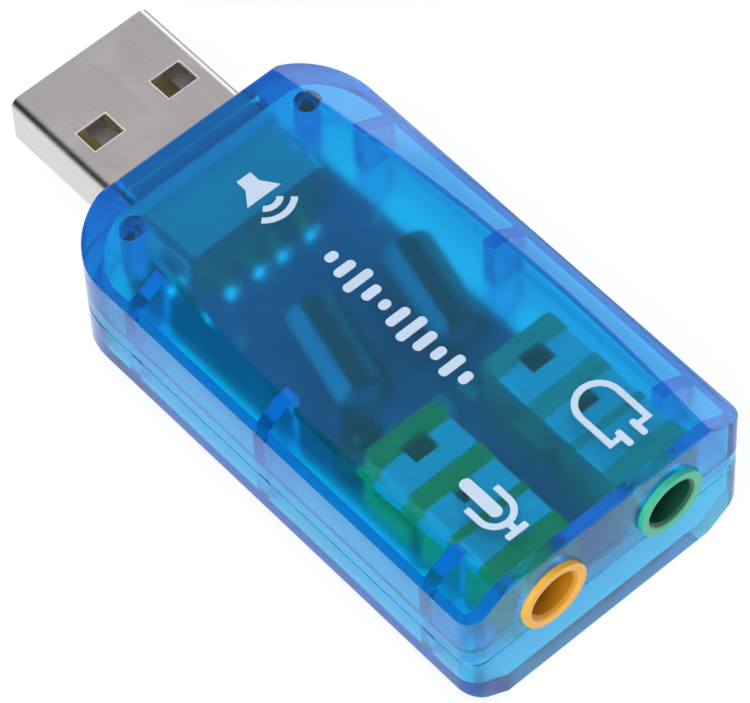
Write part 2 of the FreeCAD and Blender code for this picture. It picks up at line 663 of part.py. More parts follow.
def make_straps(name, body, middle):
    """Make the three metal straps that lie in a jack's roof and fold down its sides, and open the roof."""
    thick = size("strap_sheet")
    drop = size("strap_drop")
    width = size("jack_width")
    straps = []
    for order in ("rear", "middle", "front"):
        start = f"({JACK_REAR} + {size(f'{order}_strap_at')})"
        length = size(f"{order}_strap_length")
        strap = new_body(f"{name.title()}{order.title()}Strap")
        box(strap, "Additive", length, width, drop, start, middle, f"{JACK_ROOF} - {drop}")
        doc.recompute()
        roof = strap.Shape.BoundBox.ZMax
        soften(strap, edges_where(strap, lambda edge: runs_along_x(edge) and lies_at(edge, roof)), thick)
        box(strap, "Subtractive", f"{length} + 2 * {OVERSHOOT}", f"{width} - 2 * {thick}",
            f"{drop} - {thick} + {OVERSHOOT}", f"{start} - {OVERSHOOT}", middle,
            f"{JACK_ROOF} - {drop} - {OVERSHOOT}")
        box(body, "Subtractive", length, f"{width} + 2 * {OVERSHOOT}", f"{thick} + {OVERSHOOT}", start,
            middle, f"{JACK_ROOF} - {thick}")
        for sign in ("-1", "1"):
            box(body, "Subtractive", length, f"{thick} + {OVERSHOOT}", f"{drop} + {OVERSHOOT}", start,
                f"{middle} + {sign} * ({width} - {thick} + {OVERSHOOT}) / 2", f"{JACK_ROOF} - {drop}")
        if order != "front":
            across = size(f"{order}_well_width")
            well_start = size(f"{order}_well_at")
            well_length = size(f"{order}_well_length")
            notch = f"({well_start} + {well_length} - {size(f'{order}_strap_at')})"
            box(strap, "Subtractive", f"{notch} + {OVERSHOOT}", across, f"{drop} + {OVERSHOOT}",
                f"{start} - {OVERSHOOT}", middle, f"{JACK_ROOF} - {drop}")
            box(body, "Additive", notch, across, thick, start, middle, f"{JACK_ROOF} - {thick}")
            box(body, "Subtractive", well_length, across, f"{JACK_ROOF} - {JACK_AXIS} + {OVERSHOOT}",
                f"{JACK_REAR} + {well_start}", middle, JACK_AXIS)
        straps.append(strap)
    keep(group(f"{name.title()}Straps", *straps), f"{name}_jack_straps")


def make_jack(name, hand):
    """Make one jack: moulded body with its nose and wells, its straps and its three contacts.

    Returns the solids that drill the board for the contacts' legs.
    """
    middle = f"({hand} * {size('jack_pitch')} / 2)"
    gap = size("well_gap")
    thick = size("spring_sheet")
    flat = f"({size('bore_radius')} + {size('spring_set')})"
    half_width = f"({size('jack_width')} / 2)"
    body = new_body(f"{name.title()}Jack")
    box(body, "Additive", size("jack_depth"), size("jack_width"), size("jack_height"), JACK_REAR, middle,
        BOARD_TOP)
    doc.recompute()
    rear = body.Shape.BoundBox.XMin
    uprights = edges_where(body, lambda edge: is_upright(edge) and abs(edge.CenterOfMass.x - rear) < 1e-6)
    soften(body, uprights, size("jack_round"))
    rod(body, "Additive", size("rim_radius"), f"{RIM_END} - {JACK_FRONT}", JACK_FRONT, middle, JACK_AXIS,
        ALONG_X)
    chamber = size("chamber_width")
    chamber_low = f"({JACK_REAR} + {size('bore_end')})"
    chamber_high = f"({RIM_END} - {size('guide_length')})"
    box(body, "Subtractive", f"{chamber_high} - {chamber_low}", chamber, chamber, chamber_low, middle,
        f"{JACK_AXIS} - {chamber} / 2")
    rod(body, "Subtractive", size("bore_radius"), f"{size('guide_length')} + {OVERSHOOT}", chamber_high,
        middle, JACK_AXIS, ALONG_X)
    cone(body, "Subtractive", size("bore_radius"), size("flare_radius"), size("flare_depth"),
         f"{RIM_END} - {size('flare_depth')}", middle, JACK_AXIS, ALONG_X)
    make_straps(name, body, middle)

    drills = []
    reach = f"({half_width} + {OVERSHOOT} - {size('bore_radius')} / 2)"
    leg_low = f"({JACK_AXIS} - {size('spring_width')} / 2)"
    for label, sign, alias in (("tip", hand, "tip_well_at"), ("ring", f"-({hand})", "ring_well_at")):
        start = f"({JACK_REAR} + {size(alias)} + {gap})"
        end = f"({JACK_REAR} + {size(alias)} + {size('well_length')} - {gap})"
        well_middle = f"({middle} + {sign} * ({half_width} + {OVERSHOOT} + {size('bore_radius')} / 2) / 2)"
        box(body, "Subtractive", size("well_length"), reach, f"{size('spring_width')} + 2 * {gap}",
            f"{JACK_REAR} + {size(alias)}", well_middle, f"{leg_low} - {gap}")
        slot = f"({half_width} + {OVERSHOOT} - {flat} + {gap})"
        box(body, "Subtractive", f"{size('spring_leg')} + 2 * {gap}", slot,
            f"{leg_low} - {BOARD_TOP} + {OVERSHOOT}", f"{end} - {size('spring_leg')} - {gap}",
            f"{middle} + {sign} * ({flat} - {gap} + {slot} / 2)",
            f"{BOARD_TOP} - {OVERSHOOT}")
        strip = new_body(f"{name.title()}{label.title()}")
        pad(strip, polygon(strip, "XY_Plane", contact_outline(start, end, middle, sign), JACK_AXIS),
            size("spring_width"))
        leg_middle = f"({middle} + {sign} * ({flat} + {thick} / 2))"
        box(strip, "Additive", size("spring_leg"), thick, f"{leg_low} - {LEG_END} + {thick}",
            f"{end} - {size('spring_leg')}", leg_middle, LEG_END)
        keep(strip, f"{name}_{label}_contact")
        drills.append(leg_drill(f"{name}{label}", f"{end} - {size('spring_leg')} / 2", leg_middle,
                                size("spring_leg"), thick))

    start = f"({JACK_REAR} + {size('sleeve_well_at')} + {gap})"
    end = f"({JACK_REAR} + {size('sleeve_well_at')} + {size('well_length')} - {gap})"
    box(body, "Subtractive", size("well_length"), f"{size('spring_width')} + 2 * {gap}",
        f"{size('jack_axis_rise')} - {size('bore_radius')} / 2", f"{JACK_REAR} + {size('sleeve_well_at')}",
        middle, BOARD_TOP)
    strip = new_body(f"{name.title()}Sleeve")
    pad(strip, polygon(strip, "XZ_Plane", contact_outline(start, end, JACK_AXIS, "-1"), f"-({middle})"),
        size("spring_width"))
    box(strip, "Additive", thick, size("spring_leg"), f"{JACK_AXIS} - {flat} - {LEG_END}",
        f"{end} - {thick}", middle, LEG_END)
    keep(strip, f"{name}_sleeve_contact")
    drills.append(leg_drill(f"{name}sleeve", f"{end} - {thick} / 2", middle, thick, size("spring_leg")))
    keep(body, f"{name}_jack_body")
    return drills


def leg_drill(name, x, y, length, width):
    """Make the solid that opens the board for one flat leg."""
    gap = size("drill_gap")
    return block(f"Drill{name}", f"{length} + 2 * {gap}", f"{width} + 2 * {gap}",
                 f"{size('board_thickness')} + 2 * {OVERSHOOT}", x, y, f"{size('board_level')} - {OVERSHOOT}")


def make_capacitor(number, back, side):
    """Make one lying electrolytic capacitor: can, bung, sleeve and two bent wires.

    Returns the solid that drills the board for the wires.
    """
    name = f"Capacitor{number}"
    label = f"capacitor_{number}"
    skin = f"({size('can_radius')} + {size('sleeve_sheet')})"
    place = (before_jacks(back), size(side), f"{BOARD_TOP} + {skin}")
    bung_radius = f"({size('can_radius')} - {size('bung_inset')})"

    can = new_body(f"{name}Can")
    rod(can, "Additive", size("can_radius"), size("can_length"), "0", "0", "0", ALONG_X)
    rod(can, "Subtractive", bung_radius, f"{size('bung_length')} + {OVERSHOOT}", f"-{OVERSHOOT}", "0", "0",
        ALONG_X)
    keep(lay(can, *place), f"{label}_can")

    bung = new_body(f"{name}Bung")
    rod(bung, "Additive", bung_radius, size("bung_length"), "0", "0", "0", ALONG_X)
    keep(lay(bung, *place), f"{label}_bung")

    sleeve = new_body(f"{name}Sleeve")
    curl = f"({size('can_radius')} - {size('sleeve_curl')})"
    far = size("can_length")
    thick = size("sleeve_sheet")
    outline = polygon(sleeve, "XZ_Plane", [
        (f"-{thick}", curl), (f"-{thick}", skin), (f"{far} + {thick}", skin), (f"{far} + {thick}", curl),
        (far, curl), (far, size("can_radius")), ("0", size("can_radius")), ("0", curl),
    ])
    wrap = sleeve.newObject("PartDesign::Revolution", f"{name}Wrap")
    wrap.Profile = outline
    wrap.ReferenceAxis = (outline, ["H_Axis"])
    wrap.Angle = 360
    keep(lay(sleeve, *place), f"{label}_sleeve")

    bend = size("wire_bend")
    reach = size("wire_reach")
    fall = f"({skin} + {size('board_thickness')} + {size('leg_below')})"
    wires = []
    drills = []
    for hand, sign in (("Far", "1"), ("Near", "-1")):
        across = f"{sign} * {size('wire_pitch')} / 2"
        wire = new_body(f"{name}Wire{hand}")
        path = polygon(wire, "XZ_Plane", [
            ("0", "0"), (f"{bend} - {reach}", "0"), (f"-{reach}", f"-{bend}"), (f"-{reach}", f"-{fall}"),
        ], f"-({across})", closed=False)
        sweep(wire, disc(wire, "YZ_Plane", size("wire_radius"), across), path)
        wires.append(wire)
        drills.append(bar(f"{name}Drill{hand}", f"{size('wire_radius')} + {size('drill_gap')}",
                          f"{size('board_thickness')} + {OVERSHOOT}", f"-{reach}", across,
                          f"-({skin} + {size('board_thickness')} + {OVERSHOOT} / 2)"))
    keep(lay(group(f"{name}Wires", *wires), *place), f"{label}_leads")
    return lay(fuse(f"{name}Drills", *drills), *place)


def make_codec():
    """Make the codec under the board: a flat square body and its bent leads on four sides."""
    middle = before_jacks("codec_back")
    top = f"({size('board_level')} - {size('codec_standoff')})"
    body = new_body("Codec")
    box(body, "Additive", size("codec_size"), size("codec_size"), size("codec_thickness"),
        f"{middle} - {size('codec_size')} / 2", "0", f"{top} - {size('codec_thickness')}")
    soften(body, edges_where(body, is_upright), LEAST_ROUND, "Chamfer")
    keep(body, "codec_chip")

    half = f"({size('codec_size')} / 2)"
    thick = size("codec_lead_sheet")
    level = f"(-{size('codec_standoff')} - {size('codec_thickness')} / 2)"
    knee = f"({half} + {size('codec_lead_reach')} / 2)"
    end = f"({half} + {size('codec_lead_reach')})"
    row_length = f"({size('codec_leads')} - 1) * {size('codec_pitch')}"
    leads = new_body("CodecLeads")
    leads.AllowCompound = True
    first = pad(leads, polygon(leads, "XZ_Plane", [
        (half, f"{level} - {thick}"), (f"{knee} + {thick}", f"{level} - {thick}"),
        (f"{knee} + {thick}", f"-{thick}"), (end, f"-{thick}"), (end, "0"), (knee, "0"), (knee, level),
        (half, level),
    ], f"{row_length} / 2"), size("codec_lead_width"))
    pattern = leads.newObject("PartDesign::MultiTransform", "CodecLeadPattern")
    pattern.Originals = [first]
    row = leads.newObject("PartDesign::LinearPattern", "CodecLeadRow")
    row.Direction = (origin_plane(leads, "Y_Axis"), [""])
    bind(row, Length=row_length, Occurrences=size("codec_leads"))
    sides = leads.newObject("PartDesign::PolarPattern", "CodecLeadSides")
    sides.Axis = (origin_plane(leads, "Z_Axis"), [""])
    sides.Angle = 360
    sides.Occurrences = 4
    pattern.Transformations = [row, sides]
    leads.Tip = pattern
    keep(put(leads, middle, "0", size("board_level")), "codec_leads")


def make_crystal():
    """Make the crystal under the board: a ceramic tray against the board and a metal lid below it."""
    middle = before_jacks("crystal_back")
    tray_low = f"({size('board_level')} - {size('crystal_tray')})"
    tray = block("CrystalTray", size("crystal_length"), size("crystal_width"), size("crystal_tray"), middle,
                 size("crystal_side"), tray_low)
    keep(tray, "crystal_tray")
    lid = new_body("CrystalLid")
    length = f"({size('crystal_length')} - 2 * {size('crystal_rim')})"
    box(lid, "Additive", length, f"{size('crystal_width')} - 2 * {size('crystal_rim')}", size("crystal_lid"),
        f"{middle} - {length} / 2", size("crystal_side"), f"{tray_low} - {size('crystal_lid')}")
    soften(lid, edges_where(lid, is_upright), LEAST_ROUND, "Chamfer")
    keep(lid, "crystal_lid")


def make_chips():
    """Make the row of chip parts on the board, and the metal ends of all of them."""
    middle = before_jacks("chip_row_back")
    cap = size("chip_cap")
    bodies = {}
    ends = []
    for kind, places, height in (("Capacitor", CAPACITOR_PLACES, size("chip_height")),
                                 ("Resistor", RESISTOR_PLACES, size("resistor_height"))):
        bodies[kind] = []
        for count in places:
            side = f"({size('chip_row_first')} + {count} * {size('chip_row_pitch')})"
            bodies[kind].append(block(f"Chip{kind}{count}", f"{size('chip_length')} - 2 * {cap}",
                                      size("chip_width"), height, middle, side, BOARD_TOP))
            for hand, sign in (("Rear", "-1"), ("Front", "1")):
                along = f"({middle} + {sign} * ({size('chip_length')} - {cap}) / 2)"
                ends.append(block(f"ChipEnd{count}{hand}", cap, size("chip_width"), height, along, side,
                                  BOARD_TOP))
    keep(group("ChipCapacitors", *bodies["Capacitor"]), "chip_capacitors")
    keep(group("ChipResistors", *bodies["Resistor"]), "chip_resistors")
    keep(group("ChipEnds", *ends), "chip_ends")


def make_lamp():
    """Make the indicator lamp: a lens with a domed end and a flange, and two pins.

    Returns the solids that drill the board for the pins.
    """
    middle = before_jacks("lamp_back")
    side = size("lamp_side")
    lens = new_body("Lamp")
    rod(lens, "Additive", f"{size('lamp_radius')} + {size('lamp_flange')}", size("lamp_flange_height"),
        middle, side, BOARD_TOP)
    straight = f"({size('lamp_height')} - {size('lamp_dome')})"
    rise = f"({size('lamp_dome')} / 2)"
    rod(lens, "Additive", size("lamp_radius"), straight, middle, side, BOARD_TOP)
    cone(lens, "Additive", size("lamp_radius"), size("lamp_shoulder"), rise, middle, side,
         f"{BOARD_TOP} + {straight}")
    cone(lens, "Additive", size("lamp_shoulder"), size("lamp_crown"), rise, middle, side,
         f"{BOARD_TOP} + {straight} + {rise}")
    keep(lens, "status_led_lens")
    pins = []
    drills = []
    for hand, sign in (("Rear", "-1"), ("Front", "1")):
        along = f"({middle} + {sign} * {size('lamp_pin_pitch')} / 2)"
        pins.append(block(f"LampPin{hand}", size("lamp_pin"), size("lamp_pin"), f"{BOARD_TOP} - {LEG_END}",
                          along, side, LEG_END))
        drills.append(leg_drill(f"Lamp{hand}", along, side, size("lamp_pin"), size("lamp_pin")))
    keep(group("LampPins", *pins), "status_led_leads")
    return drills


def make_board(drills):
    """Make the circuit board with chamfered corners, opened for every leg that goes through it."""
    laminate = new_body("Laminate")
    box(laminate, "Additive", f"{BOARD_HIGH_X} - {BOARD_LOW_X}", f"2 * {size('board_half')}",
        size("board_thickness"), BOARD_LOW_X, "0", size("board_level"))
    soften(laminate, edges_where(laminate, is_upright), size("board_corner"), "Chamfer")
    tab_middle = f"({PLUG_REAR} - {size('tab_inset')} - {size('tab_length')} / 2)"
    tab_side = f"(({size('plug_width')} - {size('plug_sheet')}) / 2)"
    for hand, sign in (("Far", "1"), ("Near", "-1")):
        drills.append(leg_drill(f"Tab{hand}", tab_middle, f"{sign} * {tab_side}", size("tab_length"),
                                size("plug_sheet")))
    keep(cut("Board", laminate, *drills), "circuit_board")


def main():
    """Make every piece, check the document and write one file for each sub-part."""
    make_case()
    make_plug()
    drills = make_jack("mic", "-1") + make_jack("headphone", "1")
    drills.append(make_capacitor(1, "far_can_back", "far_can_side"))
    drills.append(make_capacitor(2, "near_can_back", "near_can_side"))
    make_codec()
    make_crystal()
    make_chips()
    drills += make_lamp()
    make_board(drills)
    doc.recompute()
    for item in doc.Objects:
        if "Invalid" in item.State or "Error" in item.State:
            raise RuntimeError(f"{item.Label} did not build: {item.State}")
    for part in sub_parts:
        if part.Shape.isNull() or not part.Shape.isValid():
            raise RuntimeError(f"{part.Label} has no valid shape")
    os.makedirs("parts", exist_ok=True)
    for part in sub_parts:
        part.Shape.exportStep(f"parts/{part.Label}.step")
        print(f"{part.Label}: {len(part.Shape.Solids)} solid(s), {part.Shape.Volume:.2f} cubic mm")


main()
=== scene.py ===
"""Dress a plug-in sound card: a clear blue case, a bright plug, two coloured jacks and the parts inside."""
import logging
import math
from dataclasses import dataclass, field
from enum import Enum

import bmesh
import bpy
from mathutils import Euler, Matrix, Vector


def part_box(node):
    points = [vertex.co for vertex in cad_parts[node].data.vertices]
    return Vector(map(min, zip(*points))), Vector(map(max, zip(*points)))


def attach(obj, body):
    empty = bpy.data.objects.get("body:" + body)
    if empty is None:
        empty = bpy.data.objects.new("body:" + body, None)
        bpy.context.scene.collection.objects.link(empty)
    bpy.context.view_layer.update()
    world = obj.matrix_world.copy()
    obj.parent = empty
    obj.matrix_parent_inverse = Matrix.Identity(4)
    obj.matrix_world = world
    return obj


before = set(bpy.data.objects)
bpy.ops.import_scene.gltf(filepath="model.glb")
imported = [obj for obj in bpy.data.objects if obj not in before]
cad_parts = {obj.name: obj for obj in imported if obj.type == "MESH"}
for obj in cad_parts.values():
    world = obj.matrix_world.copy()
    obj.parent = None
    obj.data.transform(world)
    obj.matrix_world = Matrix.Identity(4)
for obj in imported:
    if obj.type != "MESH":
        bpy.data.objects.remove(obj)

Colour = tuple[float, float, float]
Point = tuple[float, float, float]
Pair = tuple[float, float]

LOG = logging.getLogger("sound_card")
MM = 0.001
NODES: dict[str, bpy.types.Object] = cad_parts
ROOT = "root"
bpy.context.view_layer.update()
WHITE = (1.0, 1.0, 1.0, 1.0)
MERGE = 1e-7
CAN_TURN = -14.0


class Side(Enum):
    """The two long sides of the case, seen with the plug to the left."""

    NEAR = -1
    FAR = 1


class Mark(Enum):
    """The signs printed on the flat top."""

    LOUDSPEAKER = "print_loudspeaker"
    LEVELS = "print_levels"
    HEADPHONES = "print_headphones"
    MICROPHONE = "print_microphone"


def opaque(colour: Colour) -> tuple[float, float, float, float]:
    """Return a colour with full cover."""
    return (*colour, 1.0)


def shaded(colour: Colour, share: float) -> tuple[float, float, float, float]:
    """Return a darker colour with full cover."""
    return opaque(tuple(channel * share for channel in colour))


def only(kind: type, items: list) -> list:
    """Return the items of one kind out of what a bmesh operator gives."""
    return [item for item in items if isinstance(item, kind)]


def add_object(name: str, data: bpy.types.ID) -> bpy.types.Object:
    """Put an object with this data in the scene."""
    added = bpy.data.objects.new(name, data)
    bpy.context.scene.collection.objects.link(added)
    return added


def to_mesh(name: str, bm: bmesh.types.BMesh) -> bpy.types.Mesh:
    """Turn a finished bmesh, which is freed, into a mesh."""
    mesh = bpy.data.meshes.new(name)
    bm.to_mesh(mesh)
    bm.free()
    return mesh


def thicken(bm: bmesh.types.BMesh, faces: list[bmesh.types.BMFace], rise: float) -> list:
    """Turn flat faces, which stay as one side, into a slab; return what was added."""
    grown = bmesh.ops.extrude_face_region(bm, geom=faces, use_keep_orig=True)["geom"]
    bmesh.ops.translate(bm, verts=only(bmesh.types.BMVert, grown), vec=(0.0, 0.0, rise))
    return grown


class Sketchpad:
    """A node tree that is filled one node at a time."""

    def __init__(self, tree: bpy.types.NodeTree) -> None:
        """Keep the tree of a material, a world or a node group."""
        self.tree = tree

    @classmethod
    def blank(cls, owner: bpy.types.Material | bpy.types.World) -> "Sketchpad":
        """Empty the node tree of a material or a world and return it to be filled."""
        owner.use_nodes = True
        owner.node_tree.nodes.clear()
        return cls(owner.node_tree)

    def find(self, kind: str) -> bpy.types.Node:
        """Return the first node of a kind."""
        return next(node for node in self.tree.nodes if node.type == kind)

    def place(self) -> bpy.types.NodeSocket:
        """Return the place on the object, in metres."""
        return self.add("ShaderNodeTexCoord").outputs["Object"]

    def axes(self, vector: bpy.types.NodeSocket) -> bpy.types.NodeOutputs:
        """Return the X, Y and Z of a vector."""
        return self.add("ShaderNodeSeparateXYZ", Vector=vector).outputs

    def add(self, kind: str, settings: dict | None = None, **sockets: object) -> bpy.types.Node:
        """Add a node.

        Args:
            kind: The node's type name.
            settings: Properties of the node itself.
            sockets: Input sockets by name, with underscores for spaces: a value, or an output to link.

        Returns:
            The new node.
        """
        node = self.tree.nodes.new(kind)
        for name, value in (settings or {}).items():
            setattr(node, name, value)
        for name, value in sockets.items():
            self.plug(node.inputs[name.replace("_", " ")], value)
        return node

    def plug(self, socket: bpy.types.NodeSocket, value: object) -> None:
        """Set a socket, or link it where the value is another node's output."""
        if isinstance(value, bpy.types.NodeSocket):
            self.tree.links.new(value, socket)
        else:
            socket.default_value = value

    def maths(self, operation: str, first: object, second: object = 0.0,
              clamp: bool = False) -> bpy.types.NodeSocket:
        """Combine two numbers or outputs by an operation of the Math node; clamp keeps it from 0 to 1."""
        node = self.add("ShaderNodeMath", {"operation": operation, "use_clamp": clamp})
        self.plug(node.inputs[0], first)
        self.plug(node.inputs[1], second)
        return node.outputs[0]

    def vectors(self, operation: str, first: object, second: object) -> bpy.types.NodeSocket:
        """Combine two vectors or outputs by an operation of the Vector Math node, to a vector or a number."""
        node = self.add("ShaderNodeVectorMath", {"operation": operation})
        self.plug(node.inputs[0], first)
        self.plug(node.inputs[1], second)
        return node.outputs["Value" if operation in ("DOT_PRODUCT", "DISTANCE") else "Vector"]

    def ramp(self, value: bpy.types.NodeSocket, low: float, high: float, bottom: float = 0.0,
             top: float = 1.0) -> bpy.types.NodeSocket:
        """Stretch a value: low and what is under it becomes bottom, high and what is over it becomes top."""
        node = self.add("ShaderNodeMapRange", {"clamp": True}, Value=value, From_Min=low, From_Max=high,
                        To_Min=bottom, To_Max=top)
        return node.outputs["Result"]

    def blend(self, share: object, first: object, second: object) -> bpy.types.NodeSocket:
        """Blend two colours or outputs; share says how much of the second shows."""
        node = self.add("ShaderNodeMix", {"data_type": "RGBA"})
        for index, value in ((0, share), (6, first), (7, second)):
            self.plug(node.inputs[index], value)
        return node.outputs[2]

    def noise(self, where: bpy.types.NodeSocket, scale: object, detail: float = 3.0,
              roughness: float = 0.5) -> bpy.types.NodeSocket:
        """Return a cloudy value over the surface."""
        node = self.add("ShaderNodeTexNoise", Vector=where, Scale=scale, Detail=detail, Roughness=roughness)
        return node.outputs["Fac"]


class EffectGroups:
    """Effects that several finishes share, each built once.

    A range holds the noise values that become 0 and 1. A scale is a share of the group's own scale.
    """

    FINE_SHARE = 0.4
    BROAD_SCALE = 0.12
    TONE_RANGE = (0.3, 0.7)
    SMEAR_RANGE = (0.48, 0.72)
    DRAWN_STRETCH = (0.04, 1.0, 1.0)

    def __init__(self) -> None:
        """Build the groups."""
        self.moulding = self._moulding()
        self.handling = self._handling()
        self.grain = self._grain()

    @staticmethod
    def _start(name: str, scale: float, outputs: list[str]) -> tuple[Sketchpad, bpy.types.Node, bpy.types.Node]:
        """Start a group with a scale going in and values coming out; return its pad and its two end nodes."""
        tree = bpy.data.node_groups.new(name, "ShaderNodeTree")
        given = tree.interface.new_socket("Scale", in_out="INPUT", socket_type="NodeSocketFloat")
        given.default_value = scale
        for label in outputs:
            tree.interface.new_socket(label, in_out="OUTPUT", socket_type="NodeSocketFloat")
        pad = Sketchpad(tree)
        return pad, pad.add("NodeGroupInput"), pad.add("NodeGroupOutput")

    def _moulding(self) -> bpy.types.NodeTree:
        """Build the faint waviness and tone of moulded plastic."""
        pad, given, out = self._start("moulding_skin", 900.0, ["Height", "Tone"])
        where, scale = pad.place(), given.outputs["Scale"]
        fine = pad.noise(where, scale, 4.0, 0.6)
        broad = pad.noise(where, pad.maths("MULTIPLY", scale, self.BROAD_SCALE), 2.0)
        pad.plug(out.inputs["Height"], pad.maths("ADD", pad.maths("MULTIPLY", fine, self.FINE_SHARE), broad))
        pad.plug(out.inputs["Tone"], pad.ramp(broad, *self.TONE_RANGE))
        return pad.tree

    def _handling(self) -> bpy.types.NodeTree:
        """Build finger smears."""
        pad, given, out = self._start("handling_marks", 160.0, ["Smear"])
        cloud = pad.noise(pad.place(), given.outputs["Scale"], 5.0, 0.62)
        pad.plug(out.inputs["Smear"], pad.ramp(cloud, *self.SMEAR_RANGE))
        return pad.tree

    def _grain(self) -> bpy.types.NodeTree:
        """Build the drawn grain of sheet metal along X."""
        pad, given, out = self._start("drawn_grain", 500.0, ["Height", "Tone"])
        drawn = pad.add("ShaderNodeMapping", Vector=pad.place(), Scale=self.DRAWN_STRETCH)
        lines = pad.noise(drawn.outputs["Vector"], given.outputs["Scale"], 6.0, 0.7)
        pad.plug(out.inputs["Height"], lines)
        pad.plug(out.inputs["Tone"], pad.ramp(lines, *self.TONE_RANGE))
        return pad.tree


GROUPS = EffectGroups()
POLISH_DEPTH = 4e-6
POLISH_STRENGTH = 0.5
SATIN_SPECULAR = 0.5


@dataclass(frozen=True)
class Finish:
    """A surface finish with its own material.

    Args:
        name: The material's name.
        colour: The main colour.
        roughness: The plain roughness of the surface.
    """

    name: str
    colour: Colour
    roughness: float

    def start(self, **plain: object) -> tuple[bpy.types.Material, Sketchpad, bpy.types.Node]:
        """Start a material with one shader whose plain values are set on its own sockets.

        Args:
            plain: Sockets of the shader, with underscores for spaces.

        Returns:
            The material, its sketchpad and its shader.
        """
        material = bpy.data.materials.new(self.name)
        pad = Sketchpad.blank(material)
        shader = pad.add("ShaderNodeBsdfPrincipled", Base_Color=opaque(self.colour), Roughness=self.roughness,
                         **plain)
        output = pad.add("ShaderNodeOutputMaterial")
        pad.plug(output.inputs["Surface"], shader.outputs["BSDF"])
        return material, pad, shader

    def shared(self, pad: Sketchpad, tree: bpy.types.NodeTree, scale: float) -> bpy.types.Node:
        """Place a shared effect in a material at its own scale."""
        node = pad.add("ShaderNodeGroup", {"node_tree": tree})
        node.inputs["Scale"].default_value = scale
        return node

    def relief(self, pad: Sketchpad, shader: bpy.types.Node, height: bpy.types.NodeSocket, depth: float,
               strength: float = 1.0) -> None:
        """Raise the surface by a value, over a real depth in metres."""
        bump = pad.add("ShaderNodeBump", Height=height, Distance=depth, Strength=strength)
        pad.plug(shader.inputs["Normal"], bump.outputs["Normal"])

    def dulled(self, pad: Sketchpad, scale: float, smear: float) -> bpy.types.NodeSocket:
        """Return the roughness with finger smears of this scale added."""
        marks = self.shared(pad, GROUPS.handling, scale)
        return pad.maths("ADD", pad.maths("MULTIPLY", marks.outputs["Smear"], smear), self.roughness)

    def material(self) -> bpy.types.Material:
        """Build the material."""
        raise NotImplementedError


@dataclass(frozen=True)
class ClearTint(Finish):
    """Clear dyed plastic whose colour deepens with its thickness.

    Args:
        depth_colour: What the dye leaves of white light.
        density: How fast the dye takes light away, per metre.
        clearness: How much of the light goes through rather than into a faint haze.
        bending: The index of refraction.
        frost: How much rougher the inner faces are than the polished outer ones.
        seam: Height in metres at which the two shells touch and light passes straight from one to the other.
        seam_reach: How close to the seam a point counts as on it, in metres.
        middle: Middle of the case in metres; inner faces look towards it.
    """

    depth_colour: Colour
    density: float
    clearness: float
    bending: float = 1.35
    frost: float = 0.13
    seam: float = 5.9e-3
    seam_reach: float = 2e-6
    middle: Point = (0.0, 0.0, 6.2e-3)

    def material(self) -> bpy.types.Material:
        """Build the material: polished outside and frosted inside, with mould waviness and finger smears."""
        material, pad, shader = self.start(Transmission_Weight=self.clearness, IOR=self.bending)
        frosted = pad.maths("MULTIPLY", self.inner(pad), self.frost)
        pad.plug(shader.inputs["Roughness"], pad.maths("ADD", self.dulled(pad, 120.0, 0.03), frosted))
        skin = self.shared(pad, GROUPS.moulding, 500.0)
        self.relief(pad, shader, skin.outputs["Height"], POLISH_DEPTH, POLISH_STRENGTH)
        from_seam = pad.maths("ABSOLUTE", pad.maths("SUBTRACT", pad.axes(pad.place())["Z"], self.seam))
        pad.plug(shader.inputs["Alpha"], pad.maths("GREATER_THAN", from_seam, self.seam_reach))
        dye = pad.add("ShaderNodeVolumeAbsorption", Color=opaque(self.depth_colour), Density=self.density)
        pad.plug(pad.find("OUTPUT_MATERIAL").inputs["Volume"], dye.outputs["Volume"])
        return material

    def inner(self, pad: Sketchpad) -> bpy.types.NodeSocket:
        """Return 1 on faces that look towards the middle of the case, from whichever side light meets them."""
        normal = pad.add("ShaderNodeTexCoord").outputs["Normal"]
        outward = pad.vectors("DOT_PRODUCT", normal, pad.vectors("SUBTRACT", pad.place(), self.middle))
        side = pad.ramp(pad.add("ShaderNodeNewGeometry").outputs["Backfacing"], 0.0, 1.0, 1.0, -1.0)
        return pad.maths("LESS_THAN", pad.maths("MULTIPLY", outward, side), 0.0)


@dataclass(frozen=True)
class ClearLens(Finish):
    """Clear cast resin.

    Args:
        bending: The index of refraction.
        ripple: How much rougher its ripples are.
    """

    bending: float = 1.5
    ripple: float = 0.05

    def material(self) -> bpy.types.Material:
        """Build the material: smooth, with faint ripples from casting."""
        material, pad, shader = self.start(Transmission_Weight=1.0, IOR=self.bending)
        skin = self.shared(pad, GROUPS.moulding, 400.0)
        pad.plug(shader.inputs["Roughness"], pad.ramp(skin.outputs["Tone"], 0.0, 1.0, self.roughness,
                                                      self.roughness + self.ripple))
        self.relief(pad, shader, skin.outputs["Height"], POLISH_DEPTH, POLISH_STRENGTH)
        return material


@dataclass(frozen=True)
class Moulded(Finish):
    """Solid moulded plastic.

    Args:
        shade: How much darker its darker patches are.
        grain: Scale of its skin.
        depth: Depth of its skin in metres.
        smear: How much finger marks dull it.
    """

    shade: float = 0.12
    grain: float = 900.0
    depth: float = 6e-6
    smear: float = 0.12

    def material(self) -> bpy.types.Material:
        """Build the material: a faint tone, a fine skin and finger marks that dull it."""
        material, pad, shader = self.start(Specular_IOR_Level=SATIN_SPECULAR)
        skin = self.shared(pad, GROUPS.moulding, self.grain)
        darker = shaded(self.colour, 1.0 - self.shade)
        pad.plug(shader.inputs["Base Color"], pad.blend(skin.outputs["Tone"], darker, opaque(self.colour)))
        pad.plug(shader.inputs["Roughness"], self.dulled(pad, 260.0, self.smear))
        self.relief(pad, shader, skin.outputs["Height"], self.depth)
        return material


